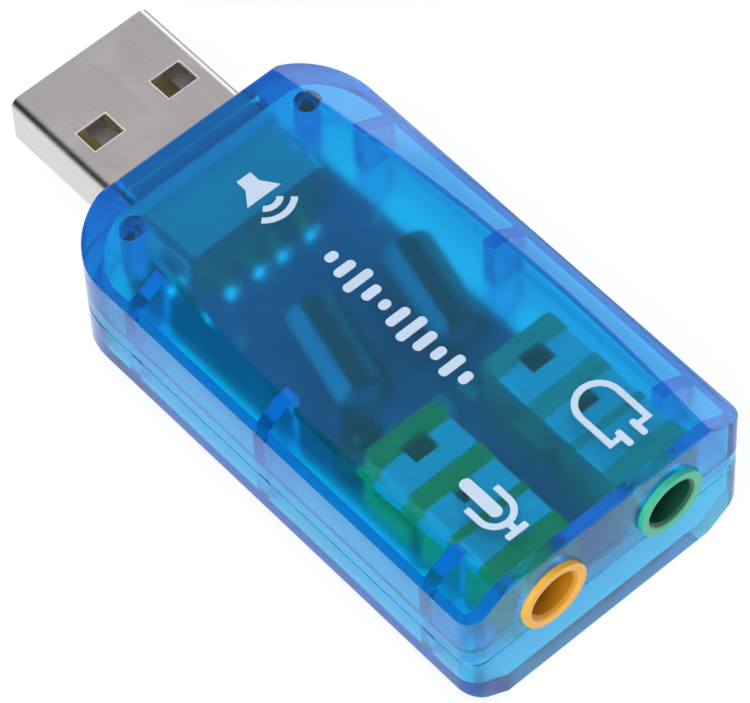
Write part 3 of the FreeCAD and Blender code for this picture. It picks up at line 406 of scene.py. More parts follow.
@dataclass(frozen=True)
class JackPlastic(Moulded):
    """Moulded plastic with painted shade inside the jack's bore.

    Args:
        axis: Place of the bore's axis across the part and up, in metres.
        bore: Radius of the bore in metres.
        painted_bore_edge: Width of the soft edge of the painted shade in metres.
        painted_bore_shade: How much darker the painted shade in the bore is.
        painted_bore_depth: Power that deepens the colour of the painted shade in the bore.
    """

    axis: Pair = (0.0, 0.0)
    bore: float = 2.05e-3
    painted_bore_edge: float = 1e-4
    painted_bore_shade: float = 0.72
    painted_bore_depth: float = 1.3

    def material(self) -> bpy.types.Material:
        """Build the material: plain moulded plastic, with painted shade in the bore over it."""
        material = super().material()
        pad = Sketchpad(material.node_tree)
        skin_colour = pad.find("BSDF_PRINCIPLED").inputs["Base Color"]
        plain = skin_colour.links[0].from_socket
        flat = pad.vectors("MULTIPLY", pad.place(), (0.0, 1.0, 1.0))
        reach = pad.vectors("DISTANCE", flat, (0.0, *self.axis))
        # Painted shade: inside the bore's radius the colour turns to a darker, deeper copy, where less light
        # reaches.
        inside = pad.ramp(reach, self.bore - self.painted_bore_edge, self.bore, 1.0, 0.0)
        painted_bore_colour = tuple(channel ** self.painted_bore_depth for channel in self.colour)
        pad.plug(skin_colour, pad.blend(inside, plain, shaded(painted_bore_colour, 1.0 - self.painted_bore_shade)))
        return material


@dataclass(frozen=True)
class Metal(Finish):
    """Drawn or plated metal.

    Args:
        grain: Scale of the drawn lines.
        depth: Depth of the lines in metres.
        smear: How much finger marks dull it.
        between: How much of the colour is left between the lines.
    """

    grain: float = 2500.0
    depth: float = 1.5e-6
    smear: float = 0.12
    between: float = 0.9

    def material(self) -> bpy.types.Material:
        """Build the material: drawn lines along X, a slight tone and finger marks."""
        material, pad, shader = self.start(Metallic=1.0)
        drawn = self.shared(pad, GROUPS.grain, self.grain)
        pad.plug(shader.inputs["Base Color"], self.tone(pad, drawn.outputs["Tone"]))
        pad.plug(shader.inputs["Roughness"], self.dulled(pad, 140.0, self.smear))
        self.relief(pad, shader, drawn.outputs["Height"], self.depth)
        return material

    def tone(self, pad: Sketchpad, drawn: bpy.types.NodeSocket) -> bpy.types.NodeSocket:
        """Return the colour, a little darker between the drawn lines."""
        return pad.blend(drawn, shaded(self.colour, self.between), opaque(self.colour))


@dataclass(frozen=True)
class FoldedSheet(Metal):
    """Plated sheet folded to a flat box, with painted shade along its four folds.

    Args:
        half: Half the width and half the height of the box in metres.
        middle: Height of its middle.
        fold: How far a fold reaches in from a corner.
        painted_fold_shade: How much of the colour is left on a fold under the painted shade.
    """

    half: Pair = (6e-3, 2.25e-3)
    middle: float = 7.2e-3
    fold: float = 0.62e-3
    painted_fold_shade: float = 0.4

    def tone(self, pad: Sketchpad, drawn: bpy.types.NodeSocket) -> bpy.types.NodeSocket:
        """Return the colour, with painted shade along the folds."""
        where = pad.axes(pad.place())
        places = (where["Y"], pad.maths("SUBTRACT", where["Z"], self.middle))
        folded = 1.0
        for place, reach in zip(places, self.half):
            near = pad.ramp(pad.maths("ABSOLUTE", place), reach - self.fold, reach - self.fold / 2)
            folded = pad.maths("MULTIPLY", near, folded)
        # Painted shade on the four folds, standing in for the dark reflection they catch.
        return pad.blend(folded, super().tone(pad, drawn), shaded(self.colour, self.painted_fold_shade))


@dataclass(frozen=True)
class SolderMask(Finish):
    """A coated circuit board with copper tracks and plated holes showing under the coat.

    Args:
        track: Colour of the coat over copper.
        tin: Colour of the tinned rings round plated holes.
        pitch: Distance between tracks in metres.
        track_edge: Where a track starts and stops to fade, as a share of the pitch.
        field_scale: Scale of the fields of tracks.
        lengthwise_over: Fields of a higher value have tracks along the board.
        crosswise_under: Fields of a lower value have tracks across the board.
        lengthwise_jog: Where tracks along the board step aside and how far.
        crosswise_jog: The same for tracks across the board.
        hole_scale: Scale of the plated holes.
        ring_edge: Where a tinned ring starts and stops to fade.
        drill_edge: The same for a hole.
        rise: Height of copper under the coat.
        unevenness: How much rougher some patches are.
    """

    track: Colour = (0.03, 0.12, 0.23)
    tin: Colour = (0.5, 0.52, 0.52)
    pitch: float = 0.9e-3
    track_edge: Pair = (0.13, 0.16)
    field_scale: float = 150.0
    lengthwise_over: float = 0.62
    crosswise_under: float = 0.3
    lengthwise_jog: Pair = (-2e-3, 2.2e-3)
    crosswise_jog: Pair = (1e-3, 1.6e-3)
    hole_scale: float = 330.0
    ring_edge: Pair = (0.1, 0.12)
    drill_edge: Pair = (0.05, 0.06)
    rise: float = 2e-5
    unevenness: float = 0.1

    def tracks(self, pad: Sketchpad, along: bpy.types.NodeSocket, across: bpy.types.NodeSocket, bend: float,
               jog: float) -> bpy.types.NodeSocket:
        """Return 1 on parallel tracks that step aside by jog, from bend on, at half a right angle."""
        step = pad.ramp(along, bend, bend + jog, 0.0, jog)
        row = pad.maths("FRACT", pad.maths("DIVIDE", pad.maths("ADD", across, step), self.pitch))
        from_middle = pad.maths("ABSOLUTE", pad.maths("SUBTRACT", row, 0.5))
        return pad.ramp(from_middle, *self.track_edge, 1.0, 0.0)

    def material(self) -> bpy.types.Material:
        """Build the material: fields of tracks in two directions, plated holes and a satin coat."""
        material, pad, shader = self.start(Specular_IOR_Level=SATIN_SPECULAR)
        where = pad.place()
        axes = pad.axes(where)
        fields = pad.add("ShaderNodeTexVoronoi", {"distance": "CHEBYCHEV"}, Vector=where,
                         Scale=self.field_scale)
        value = pad.add("ShaderNodeSeparateColor", Color=fields.outputs["Color"]).outputs[0]
        lengthwise = pad.maths("MULTIPLY", pad.maths("GREATER_THAN", value, self.lengthwise_over),
                               self.tracks(pad, axes["X"], axes["Y"], *self.lengthwise_jog))
        crosswise = pad.maths("MULTIPLY", pad.maths("LESS_THAN", value, self.crosswise_under),
                              self.tracks(pad, axes["Y"], axes["X"], *self.crosswise_jog))
        away = pad.add("ShaderNodeTexVoronoi", Vector=where, Scale=self.hole_scale).outputs["Distance"]
        ring = pad.ramp(away, *self.ring_edge, 1.0, 0.0)
        drilled = pad.ramp(away, *self.drill_edge, 1.0, 0.0)
        copper = pad.maths("MAXIMUM", lengthwise, crosswise)
        coat = pad.blend(copper, opaque(self.colour), opaque(self.track))
        tinned = pad.blend(ring, coat, opaque(self.tin))
        pad.plug(shader.inputs["Base Color"], pad.blend(drilled, tinned, opaque(self.colour)))
        skin = self.shared(pad, GROUPS.moulding, 1400.0)
        pad.plug(shader.inputs["Roughness"], pad.ramp(skin.outputs["Tone"], 0.0, 1.0, self.roughness,
                                                      self.roughness + self.unevenness))
        self.relief(pad, shader, pad.maths("MAXIMUM", copper, ring), self.rise)
        return material


@dataclass(frozen=True)
class Sleeved(Finish):
    """A shrunk capacitor sleeve with a paler stripe along one side.

    Args:
        middle: A point on the capacitor's axis, in metres.
        turn: Direction of the axis in plan, in radians.
        stripe: Colour of the stripe.
        stripe_side: Direction of the stripe round the axis, in radians.
        stripe_edge: Where the stripe starts and stops to fade, in radians from its middle.
        film_depth: Depth of the film's unevenness in metres.
    """

    middle: Point
    turn: float
    stripe: Colour = (0.2, 0.24, 0.3)
    stripe_side: float = 2.5
    stripe_edge: Pair = (0.4, 0.5)
    film_depth: float = 1.2e-5

    def material(self) -> bpy.types.Material:
        """Build the material: gloss film that lies a little unevenly, with the stripe printed on it."""
        material, pad, shader = self.start(Specular_IOR_Level=SATIN_SPECULAR, Coat_Weight=0.3)
        local = pad.add("ShaderNodeMapping", {"vector_type": "TEXTURE"}, Vector=pad.place(),
                        Location=self.middle, Rotation=(0.0, 0.0, self.turn))
        axes = pad.axes(local.outputs["Vector"])
        round_axis = pad.maths("ARCTAN2", axes["Z"], axes["Y"])
        away = pad.maths("ABSOLUTE", pad.maths("SUBTRACT", round_axis, self.stripe_side))
        band = pad.ramp(away, *self.stripe_edge, 1.0, 0.0)
        pad.plug(shader.inputs["Base Color"], pad.blend(band, opaque(self.colour), opaque(self.stripe)))
        skin = self.shared(pad, GROUPS.moulding, 700.0)
        self.relief(pad, shader, skin.outputs["Height"], self.film_depth)
        return material


@dataclass(frozen=True)
class Ink(Finish):
    """Screen-printed ink, a little thin in places.

    Args:
        thin: How much of the colour is left where it is thin.
        mesh_depth: Depth of the marks of the screen's mesh in metres.
    """

    thin: float = 0.92
    mesh_depth: float = 3e-6

    def material(self) -> bpy.types.Material:
        """Build the material: even colour with faint mesh marks."""
        material, pad, shader = self.start(Specular_IOR_Level=0.4)
        skin = self.shared(pad, GROUPS.moulding, 3000.0)
        thinner = shaded(self.colour, self.thin)
        pad.plug(shader.inputs["Base Color"], pad.blend(skin.outputs["Tone"], thinner, opaque(self.colour)))
        self.relief(pad, shader, skin.outputs["Height"], self.mesh_depth)
        return material


def dress(node: str, material: bpy.types.Material) -> None:
    """Give one CAD node its material."""
    mesh = NODES[node].data
    mesh.materials.clear()
    mesh.materials.append(material)
    LOG.info("dressed %s with %s", node, material.name)


def settle(name: str, bm: bmesh.types.BMesh, material: bpy.types.Material) -> None:
    """Turn a finished bmesh into a piece that rides on the part.

    Args:
        name: The piece's name.
        bm: The finished bmesh, in the row frame; it is freed.
        material: The piece's material.
    """
    bmesh.ops.remove_doubles(bm, verts=bm.verts[:], dist=MERGE)
    bmesh.ops.recalc_face_normals(bm, faces=bm.faces[:])
    mesh = to_mesh(name, bm)
    piece = add_object(name, mesh)
    mesh.materials.append(material)
    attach(piece, ROOT)
    LOG.info("built %s with %d faces", name, len(mesh.polygons))


@dataclass
class TopPrint:
    """The signs printed on the flat top, drawn in millimetres in plan and pressed on as thin ink.

    Args:
        ink: The ink's finish.
        thickness: Thickness of the ink in millimetres.
        overlap: How much higher each further stroke of a sign lies.
        stroke: Width of a drawn line in millimetres.
        level: Height of the flat top in millimetres.
        mesh_maker: The sign that is being drawn.
    """

    ink: Ink
    thickness: float = 0.003
    overlap: float = 0.0004
    stroke: float = 0.48
    level: float = field(init=False)
    mesh_maker: bmesh.types.BMesh = field(init=False)

    def __post_init__(self) -> None:
        """Find the height of the flat top in millimetres."""
        self.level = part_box("top_shell")[1].z / MM

    def band(self, middle: Pair, radius: float, start: float, sweep: float, tails: Pair = (0.0, 0.0)) -> None:
        """Draw an arc of ink with straight tails; start and sweep are in degrees, counted from +X."""
        bm = self.mesh_maker
        centre = Vector((*middle, self.level))
        out = Vector((math.cos(math.radians(start)), math.sin(math.radians(start)), 0.0))
        rim = [bm.verts.new(centre + out * (radius + side * self.stroke / 2)) for side in (-1, 1)]
        edge = bm.edges.new(rim)
        spun = bmesh.ops.spin(bm, geom=[*rim, edge], cent=centre, axis=(0, 0, 1), angle=math.radians(sweep),
                              steps=20)
        last = only(bmesh.types.BMEdge, spun["geom_last"])
        for seed, angle, length, sign in (([edge], start, tails[0], -1), (last, start + sweep, tails[1], 1)):
            if length:
                along = math.radians(angle + 90.0)
                step = Vector((math.cos(along), math.sin(along), 0.0)) * length * sign
                grown = bmesh.ops.extrude_edge_only(bm, edges=seed)["geom"]
                bmesh.ops.translate(bm, verts=only(bmesh.types.BMVert, grown), vec=step)

    def lozenge(self, middle: Pair, length: float, width: float, corner: float) -> None:
        """Draw a rounded rectangle of ink, with its length along X and its width along Y."""
        bm = self.mesh_maker
        place = Matrix.Translation((*middle, self.level)) @ Matrix.Diagonal((length / 2, width / 2, 1.0, 1.0))
        verts = bmesh.ops.create_grid(bm, x_segments=1, y_segments=1, size=1.0, matrix=place)["verts"]
        bmesh.ops.bevel(bm, geom=verts, offset=corner, offset_type="OFFSET", affect="VERTICES", segments=6,
                        profile=0.5, material=-1)

    def wedge(self, points: list[Pair]) -> None:
        """Draw a flat patch of ink with straight sides through a few points."""
        verts = [self.mesh_maker.verts.new((*point, self.level)) for point in points]
        self.mesh_maker.faces.new(verts)

    def press(self, mark: Mark, material: bpy.types.Material) -> None:
        """Give a drawn sign its thickness and settle it on the top."""
        bm = self.mesh_maker
        bmesh.ops.recalc_face_normals(bm, faces=bm.faces[:])
        for order, faces in enumerate(self.strokes(bm)):
            thicken(bm, faces, self.thickness + order * self.overlap)
        bmesh.ops.scale(bm, vec=(MM, MM, MM), verts=bm.verts[:])
        settle(mark.value, bm, material)

    @staticmethod
    def strokes(bm: bmesh.types.BMesh) -> list[list[bmesh.types.BMFace]]:
        """List the faces of each separate stroke of a drawn sign that is still flat."""
        seen = set()
        found = []
        for first in bm.faces[:]:
            reached = []
            waiting = [first]
            while waiting:
                face = waiting.pop()
                if face not in seen:
                    seen.add(face)
                    reached.append(face)
                    waiting.extend(other for vert in face.verts for other in vert.link_faces)
            if reached:
                found.append(reached)
        return found

    def build(self) -> None:
        """Print all the signs."""
        material = self.ink.material()
        for mark, draw in ((Mark.HEADPHONES, self.draw_headphones), (Mark.MICROPHONE, self.draw_microphone),
                           (Mark.LEVELS, self.draw_levels), (Mark.LOUDSPEAKER, self.draw_loudspeaker)):
            self.mesh_maker = bmesh.new()
            draw()
            self.press(mark, material)

    def draw_headphones(self) -> None:
        """Draw a headband open towards the jack end, its ends turned in to two ear pads."""
        axis, reach, leg, bend = 4.9, 1.62, 2.95, 19.9
        arm_at, pad_at = 1.12, 0.62
        self.band((bend, axis), reach, 90.0, 180.0, (leg, leg))
        for side in Side:
            self.lozenge((bend + leg - 0.2, axis + side.value * arm_at), 0.4, 1.0, 0.05)
            self.lozenge((bend + leg, axis + side.value * pad_at), 1.45, 0.5, 0.2)

    def draw_microphone(self) -> None:
        """Draw a capsule in a cradle on a short stand."""
        axis, reach, leg = -5.44, 1.25, 1.25
        capsule_at, bend, stem_at, foot_at = 20.0, 21.25, 22.95, 23.35
        self.lozenge((capsule_at, axis), 3.6, 0.95, 0.45)
        self.band((bend, axis), reach, -90.0, 180.0, (leg, leg))
        self.lozenge((stem_at, axis), 0.7, self.stroke, 0.05)
        self.lozenge((foot_at, axis), self.stroke, 1.75, 0.1)

    def draw_levels(self) -> None:
        """Draw a run of sound level bars along the middle."""
        width, pitch, first, roundness = 0.72, 1.3, -0.4, 0.45
        for number, reach in enumerate((1.0, 1.7, 2.4, 1.5, 0.9, 1.9, 2.5, 1.9, 1.2, 2.1, 1.1)):
            self.lozenge((first + number * pitch, 0.0), width, reach, width * roundness)

    def draw_loudspeaker(self) -> None:
        """Draw a loudspeaker with two sound arcs."""
        back, neck, mouth = -9.2, -8.3, -7.1
        box, horn = 0.6, 1.45
        self.wedge([(back, -box), (neck, -box), (mouth, -horn), (mouth, horn), (neck, box), (back, box)])
        for radius in (1.05, 2.0):
            self.band((mouth, 0.0), radius, -46.0, 92.0)


@dataclass
class Case:
    """The two clear shells.

    Args:
        lid: Finish of the upper shell.
        base: Finish of the lower shell, which is a little paler.
    """

    lid: ClearTint
    base: ClearTint

    def dress(self) -> None:
        """Give both shells their clear plastic."""
        dress("top_shell", self.lid.material())
        dress("bottom_shell", self.base.material())


@dataclass
class Plug:
    """The flat plug: plated shell, contact carrier and gilt strips.

    Args:
        sheet: Finish of the shell.
        carrier: Finish of the contact carrier.
        gilt: Finish of the contact strips.
        burr: Finish of the raised edges round the latch windows, paler than the plating as a painted highlight
            on real edges.
        windows_at: Middle of the latch windows, from the tip, in millimetres.
        windows_side: Middle of the shell to the middle of a window.
        window: Size of a window along and across the plug.
        height: Height of the shell.
        edge: Width and height of a raised edge.
        edge_round: Rounding of a raised edge, as a share of its height.
        sharp: Angle in radians from which an edge is rounded.
    """

    sheet: Metal
    carrier: Moulded
    gilt: Metal
    burr: Metal
    windows_at: float = 6.135
    windows_side: float = 3.25
    window: Pair = (1.95, 2.5)
    height: float = 4.5
    edge: Pair = (0.12, 0.035)
    edge_round: float = 0.6
    sharp: float = 0.5

    def build(self) -> None:
        """Build the raised edges that punching left round the four latch windows."""
        low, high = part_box("usb_shell")
        width, rise = (size * MM for size in self.edge)
        length, across = (size * MM / 2 + width for size in self.window)
        bm = bmesh.new()
        for level, up in ((high.z, rise), (high.z - self.height * MM, -rise)):
            for side in Side:
                middle = Vector((low.x + self.windows_at * MM, side.value * self.windows_side * MM, level))
                place = Matrix.Translation(middle) @ Matrix.Diagonal((length, across, 1.0, 1.0))
                sheet = bmesh.ops.create_grid(bm, x_segments=1, y_segments=1, size=1.0, matrix=place)["verts"]
                opening = sheet[0].link_faces[0]
                inset = bmesh.ops.inset_region(bm, faces=[opening], thickness=width, use_boundary=True)
                ring = inset["faces"]
                bmesh.ops.delete(bm, geom=[opening], context="FACES")
                edges = only(bmesh.types.BMEdge, thicken(bm, ring, up))
                corners = [edge for edge in edges if abs(edge.calc_face_angle(0.0)) > self.sharp]
                bmesh.ops.bevel(bm, geom=corners, offset=rise * self.edge_round, affect="EDGES", segments=2,
                                profile=0.5, material=-1)
        settle("plug_window_edges", bm, self.burr.material())

    def dress(self) -> None:
        """Give every node of the plug its finish."""
        dress("usb_shell", self.sheet.material())
        dress("usb_insulator", self.carrier.material())
        gilt = self.gilt.material()
        for number in range(1, 5):
            dress(f"usb_contact_{number}", gilt)


@dataclass
class Solder:
    """The solder on the contact feet over the board, and on all the legs under it, with sizes in millimetres.

    Args:
        tin: Finish of the solder.
        joint_width: Width of a joint over the board.
        joint_height: Height of a joint over the board.
        cone_profile: Half section of a joint under the board, from its rim to the leg.
        foot_inset: End of a contact strip to the joint on its foot.
        tab_inset: End of the plug's shell to the joints on its tabs.
        tab_out: Side of the shell to the joints over the board.
        tab_in: Side of the shell to the joints under the board.
        leg_inset: End of a jack's contact to the joint on its leg.
        pin_inset: End of the lamp's pins to the joint on a pin.
        wire_reach: Middle of a capacitor's bung to where its wires go down.
        wire_pitch: Between the wires of a capacitor.
    """

    tin: Metal
    joint_width: float = 1.7
    joint_height: float = 0.6
    cone_profile: tuple[Pair, ...] = ((0.85, 0.0), (0.8, -0.06), (0.55, -0.2), (0.4, -0.42), (0.0, -0.5))
    foot_inset: float = 0.5
    tab_inset: float = 1.8
    tab_out: float = 0.3
    tab_in: float = 0.15
    leg_inset: float = 0.4
    pin_inset: float = 0.22
    wire_reach: float = 1.6
    wire_pitch: float = 1.5

    def over_board(self) -> list[Vector]:
        """List the joints on the feet of the plug's strips and beside its tabs."""
        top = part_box("circuit_board")[1].z
        places = []
        for number in range(1, 5):
            low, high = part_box(f"usb_contact_{number}")
            places.append(Vector((high.x - self.foot_inset * MM, (low.y + high.y) / 2, top)))
        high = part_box("usb_shell")[1]
        for side in Side:
            out = side.value * (high.y + self.tab_out * MM)
            places.append(Vector((high.x - self.tab_inset * MM, out, top)))
        return places

    def under_board(self) -> list[Vector]:
        """List the joints on the legs that come through the board."""
        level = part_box("circuit_board")[0].z
        places = []
        for jack in ("mic", "headphone"):
            low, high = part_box(f"{jack}_jack_body")
            middle = (low.y + high.y) / 2
            for contact in ("tip", "ring"):
                low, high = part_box(f"{jack}_{contact}_contact")
                side = max(low.y, high.y, key=lambda place: abs(place - middle))
                places.append(Vector((high.x - self.leg_inset * MM, side, level)))
            places.append(Vector((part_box(f"{jack}_sleeve_contact")[1].x, middle, level)))
        turn = math.radians(CAN_TURN)
        along = Vector((math.cos(turn), math.sin(turn), 0.0))
        across = Vector((-along.y, along.x, 0.0))
        for number in (1, 2):
            low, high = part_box(f"capacitor_{number}_bung")
            start = (low + high) / 2 - along * self.wire_reach * MM
            for side in Side:
                place = start + across * side.value * self.wire_pitch / 2 * MM
                places.append(Vector((place.x, place.y, level)))
        low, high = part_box("status_led_leads")
        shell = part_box("usb_shell")[1]
        for side in Side:
            edge = (low if side is Side.NEAR else high).x
            places.append(Vector((edge - side.value * self.pin_inset * MM, (low.y + high.y) / 2, level)))
            out = side.value * (shell.y - self.tab_in * MM)
            places.append(Vector((shell.x - self.tab_inset * MM, out, level)))
        return places

    def build(self) -> None:
        """Build all the joints as two pieces."""
        material = self.tin.material()
        places = self.over_board()
        bm = bmesh.new()
        half = self.joint_width * MM / 2
        size = Matrix.Diagonal((half, half, self.joint_height * MM, 1.0))
        for place in places:
            bmesh.ops.create_uvsphere(bm, u_segments=16, v_segments=10, radius=1.0,
                                      matrix=Matrix.Translation(place) @ size)
        bmesh.ops.bisect_plane(bm, geom=bm.verts[:] + bm.edges[:] + bm.faces[:], plane_co=places[0],
                               plane_no=(0.0, 0.0, 1.0), clear_inner=True)
        bmesh.ops.holes_fill(bm, edges=bm.edges[:])
        self.finish("solder_feet", bm, material)
        bm = bmesh.new()
        for place in self.under_board():
            rim = [bm.verts.new(place + Vector((out * MM, 0.0, fall * MM))) for out, fall in self.cone_profile]
            line = [bm.edges.new(pair) for pair in zip(rim, rim[1:])]
            bmesh.ops.spin(bm, geom=[*rim, *line], cent=place, axis=(0, 0, 1), angle=2 * math.pi, steps=16,
                           use_merge=True)
        bmesh.ops.remove_doubles(bm, verts=bm.verts[:], dist=MERGE)
        bmesh.ops.holes_fill(bm, edges=bm.edges[:])
        self.finish("solder_legs", bm, material)

    @staticmethod
    def finish(name: str, bm: bmesh.types.BMesh, material: bpy.types.Material) -> None:
        """Smooth all the joints of a piece and settle them."""
        for face in bm.faces:
            face.smooth = len(face.verts) <= 4
        settle(name, bm, material)


@dataclass
class Jacks:
    """The microphone jack and the headphone jack.

    Args:
        colours: Colour of each body, and how much darker the painted shade in its bore is, by the jack's name.
        spring: Finish of the contacts.
        strap: Finish of the straps over the roofs.
        axis_height: Height of the bores' axes in millimetres.
        roughness: Roughness of the bodies.
    """

    colours: dict[str, tuple[Colour, float]]
    spring: Metal
    strap: Metal
    axis_height: float = 8.1
    roughness: float = 0.32

    def dress(self) -> None:
        """Give the bodies, straps and contacts their finishes."""
        spring, strap = self.spring.material(), self.strap.material()
        # Each jack gives its body colour and how much darker the painted shade in its bore is.
        for name, (colour, shade) in self.colours.items():
            low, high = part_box(f"{name}_jack_body")
            plastic = JackPlastic(f"{name}_body_plastic", colour, self.roughness, painted_bore_shade=shade,
                                  axis=((low.y + high.y) / 2, self.axis_height * MM))
            dress(f"{name}_jack_body", plastic.material())
            dress(f"{name}_jack_straps", strap)
            for contact in ("tip", "ring", "sleeve"):
                dress(f"{name}_{contact}_contact", spring)


@dataclass
class Capacitors:
    """The two lying capacitors.

    Args:
        sleeve_colour: Colour of the shrunk sleeves.
        can: Finish of the cans.
        bung: Finish of the bungs.
        wire: Finish of the wires.
        roughness: Roughness of the sleeves.
    """

    sleeve_colour: Colour
    can: Metal
    bung: Moulded
    wire: Metal
    roughness: float = 0.3

    def dress(self) -> None:
        """Give both capacitors their finishes."""
        can, bung, wire = self.can.material(), self.bung.material(), self.wire.material()
        for number in (1, 2):
            name = f"capacitor_{number}"
            low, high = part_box(f"{name}_sleeve")
            sleeve = Sleeved(f"{name}_sleeve_film", self.sleeve_colour, self.roughness, tuple((low + high) / 2),
                             math.radians(CAN_TURN))
            dress(f"{name}_sleeve", sleeve.material())
            dress(f"{name}_can", can)
            dress(f"{name}_bung", bung)
            dress(f"{name}_leads", wire)


@dataclass
class BoardParts:
    """The circuit board and the small parts on both its faces.

    Args:
        finishes: Finish of each node by the node's name.
    """

    finishes: dict[str, Finish]

    def dress(self) -> None:
        """Give every node its finish; nodes with the same finish share one material."""
        made: dict[str, bpy.types.Material] = {}
        for node, finish in self.finishes.items():
            if finish.name not in made:
                made[finish.name] = finish.material()
            dress(node, made[finish.name])


@dataclass
class Studio:
    """A pale floor, soft light and the camera.

    Args:
        floor_colour: Colour of the floor.
        floor_half: Half its side in metres.
        floor_drop: How far under the part it lies, so that no faces share a plane.
        floor_white: How white it shows to the eye and in a gloss.
        overhead: Colour of the surroundings overhead.
        horizon: Between which heights white turns to that colour.
        card: Colour of the dark card.
        card_side: Direction of the dark card.
        card_edge: How close to that direction it starts and is full.
        lamps: Name, place and side in metres and power in watts of each lamp.
        eye: Place of the camera in metres.
        look: Turn of the camera in degrees.
        sensor: Width of the camera's sensor in millimetres.
        lens: Focal length in millimetres.
    """

    floor_colour: Colour = (0.93, 0.93, 0.93)
    floor_half: float = 2.0
    floor_drop: float = 2e-5
    floor_white: float = 0.85
    overhead: Colour = (0.5, 0.49, 0.49)
    horizon: Pair = (0.05, 0.7)
    card: Colour = (0.03, 0.03, 0.03)
    card_side: Point = (-0.44, -0.82, 0.36)
    card_edge: Pair = (0.84, 0.9)
    lamps: tuple[tuple[str, Point, float, float], ...] = (
        ("key_lamp", (0.12, -0.16, 0.60), 0.40, 2.4),
        ("side_lamp", (0.22, -0.52, 0.22), 0.36, 2.6),
        ("back_lamp", (-0.26, 0.51, 0.20), 0.38, 0.8))
    eye: Point = (0.14783, -0.11696, 0.27650)
    look: Point = (34.4124, 1.8145, 48.3254)
    sensor: float = 36.0
    lens: float = 239.11

    def build(self) -> None:
        """Build floor, surroundings, lamps and camera, with bounces enough for the clear case."""
        self.build_floor()
        self.build_world()
        for lamp in self.lamps:
            self.build_lamp(*lamp)
        self.build_camera()
        scene = bpy.context.scene
        scene.view_settings.view_transform = "Standard"
        scene.cycles.max_bounces = 32
        scene.cycles.glossy_bounces = 24
        scene.cycles.transmission_bounces = 28
        scene.cycles.blur_glossy = 0.0

    def background_share(self, pad: Sketchpad) -> bpy.types.NodeSocket:
        """Return how white the floor shows: wholly through the clear case, less to the eye and in a gloss."""
        path = pad.add("ShaderNodeLightPath")
        seen = pad.maths("MAXIMUM", path.outputs["Is Camera Ray"], path.outputs["Is Glossy Ray"])
        plain = pad.maths("MULTIPLY", seen, self.floor_white)
        return pad.maths("MAXIMUM", plain, path.outputs["Is Transmission Ray"])

    def build_floor(self) -> None:
        """Build the floor, which keeps a light shadow of the object."""
        bm = bmesh.new()
        bmesh.ops.create_grid(bm, x_segments=1, y_segments=1, size=self.floor_half,
                              matrix=Matrix.Translation((0.0, 0.0, -self.floor_drop)))
        mesh = to_mesh("floor", bm)
        floor = add_object("floor", mesh)
        material = bpy.data.materials.new("floor_paper")
        pad = Sketchpad.blank(material)
        paper = pad.add("ShaderNodeBsdfDiffuse", Color=opaque(self.floor_colour))
        white = pad.add("ShaderNodeEmission", Color=WHITE, Strength=1.0)
        mixed = pad.add("ShaderNodeMixShader", Fac=self.background_share(pad))
        pad.plug(mixed.inputs[1], paper.outputs["BSDF"])
        pad.plug(mixed.inputs[2], white.outputs["Emission"])
        output = pad.add("ShaderNodeOutputMaterial")
        pad.plug(output.inputs["Surface"], mixed.outputs["Shader"])
        mesh.materials.append(material)

    def build_world(self) -> None:
        """Build surroundings, white low down and grey overhead, with a dark card that clear plastic hides."""
        world = bpy.data.worlds.new("surroundings")
        bpy.context.scene.world = world
        pad = Sketchpad.blank(world)
        towards = pad.add("ShaderNodeTexCoord").outputs["Generated"]
        tone = pad.blend(pad.ramp(pad.axes(towards)["Z"], *self.horizon), WHITE, opaque(self.overhead))
        card = pad.ramp(pad.vectors("DOT_PRODUCT", towards, self.card_side), *self.card_edge)
        inside = pad.add("ShaderNodeLightPath").outputs["Is Transmission Ray"]
        card = pad.maths("SUBTRACT", card, inside, clamp=True)
        soft = pad.add("ShaderNodeBackground", Color=pad.blend(card, tone, opaque(self.card)), Strength=1.0)
        output = pad.add("ShaderNodeOutputWorld")
        pad.plug(output.inputs["Surface"], soft.outputs["Background"])

    @staticmethod
    def build_lamp(name: str, place: Point, size: float, power: float) -> None:
        """Build a square soft lamp that points at the object."""
        data = bpy.data.lights.new(name, "AREA")
        data.size = size
        data.energy = power
        lamp = add_object(name, data)
        lamp.location = place
        lamp.rotation_euler = (-Vector(place)).to_track_quat("-Z", "Y").to_euler()

    def build_camera(self) -> None:
        """Build the camera at the photograph's viewing angle."""
        data = bpy.data.cameras.new("camera")
        data.sensor_width = self.sensor
        data.lens = self.lens
        data.clip_start = 0.01
        camera = add_object("camera", data)
        camera.location = self.eye
        camera.rotation_euler = Euler([math.radians(angle) for angle in self.look])
        bpy.context.scene.camera = camera


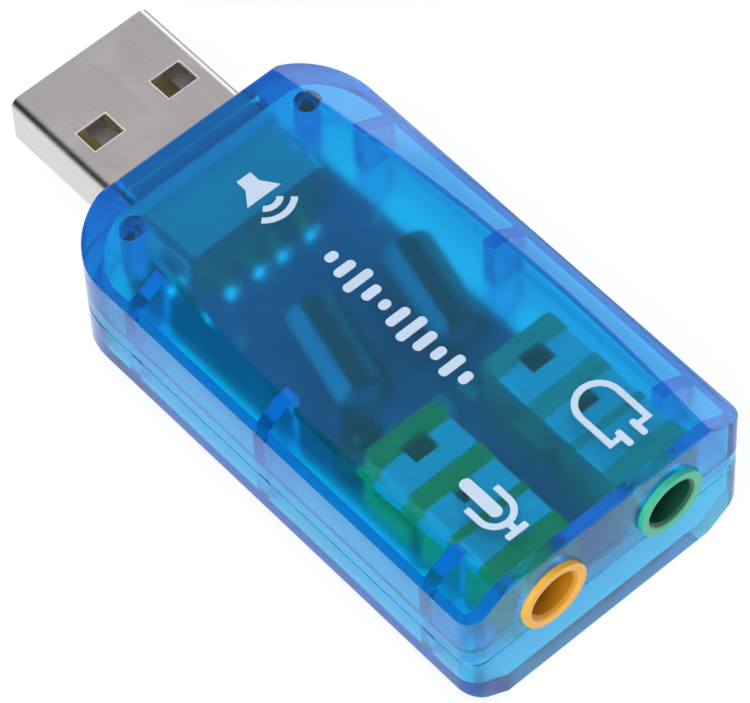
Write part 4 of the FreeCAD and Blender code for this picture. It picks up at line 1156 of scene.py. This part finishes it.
def main() -> None:
    """Build and dress every sub-assembly, then the studio."""
    logging.basicConfig(level=logging.INFO, format="%(message)s")
    tinned = Metal("tinned_wire", (0.72, 0.73, 0.74), 0.3)
    spring = Metal("spring_strip", (0.76, 0.66, 0.42), 0.3)
    resin = Moulded("chip_resin", (0.02, 0.02, 0.022), 0.5)

    Case(ClearTint("lid_plastic", (0.04, 0.82, 1.0), 0.15, depth_colour=(0.0, 0.62, 0.91), density=540.0,
                   clearness=0.97),
         ClearTint("base_plastic", (0.09, 0.8, 0.98), 0.17, depth_colour=(0.0, 0.66, 0.9), density=320.0,
                   clearness=0.965)).dress()
    TopPrint(Ink("print_ink", (0.44, 0.55, 0.68), 0.45)).build()
    # The plug's plating has painted shade along its folds.
    plug = Plug(FoldedSheet("plug_plating", (0.71, 0.685, 0.675), 0.3, depth=6e-7),
                Moulded("contact_carrier", (0.2, 0.185, 0.19), 0.45),
                Metal("contact_gilt", (0.82, 0.66, 0.36), 0.25),
                # The raised window edges are real, but their paler colour than the plating is a painted
                # highlight.
                Metal("punched_edge_highlight", (0.9, 0.88, 0.87), 0.45))
    plug.build()
    plug.dress()
    Solder(Metal("solder", (0.78, 0.79, 0.8), 0.22)).build()
    # The second number of each jack is how much darker the painted shade in its bore is.
    Jacks({"mic": ((0.66, 0.33, 0.022), 0.25), "headphone": ((0.025, 0.36, 0.21), 0.78)}, spring,
          Metal("strap_plating", (0.74, 0.74, 0.68), 0.55)).dress()
    Capacitors((0.012, 0.014, 0.022), Metal("can_aluminium", (0.8, 0.81, 0.82), 0.3),
               Moulded("bung_rubber", (0.03, 0.03, 0.03), 0.6), tinned).dress()
    BoardParts({
        "circuit_board": SolderMask("board_coat", (0.012, 0.055, 0.15), 0.4),
        "codec_chip": resin,
        "codec_leads": tinned,
        "crystal_tray": Moulded("crystal_ceramic", (0.5, 0.46, 0.38), 0.6),
        "crystal_lid": Metal("crystal_metal", (0.8, 0.79, 0.74), 0.35),
        "chip_capacitors": Moulded("capacitor_ceramic", (0.5, 0.36, 0.2), 0.5),
        "chip_resistors": resin,
        "chip_ends": tinned,
        "status_led_lens": ClearLens("lamp_lens", (0.92, 0.95, 0.96), 0.03),
        "status_led_leads": tinned,
    }).dress()
    Studio().build()


if __name__ == "__main__":
    main()
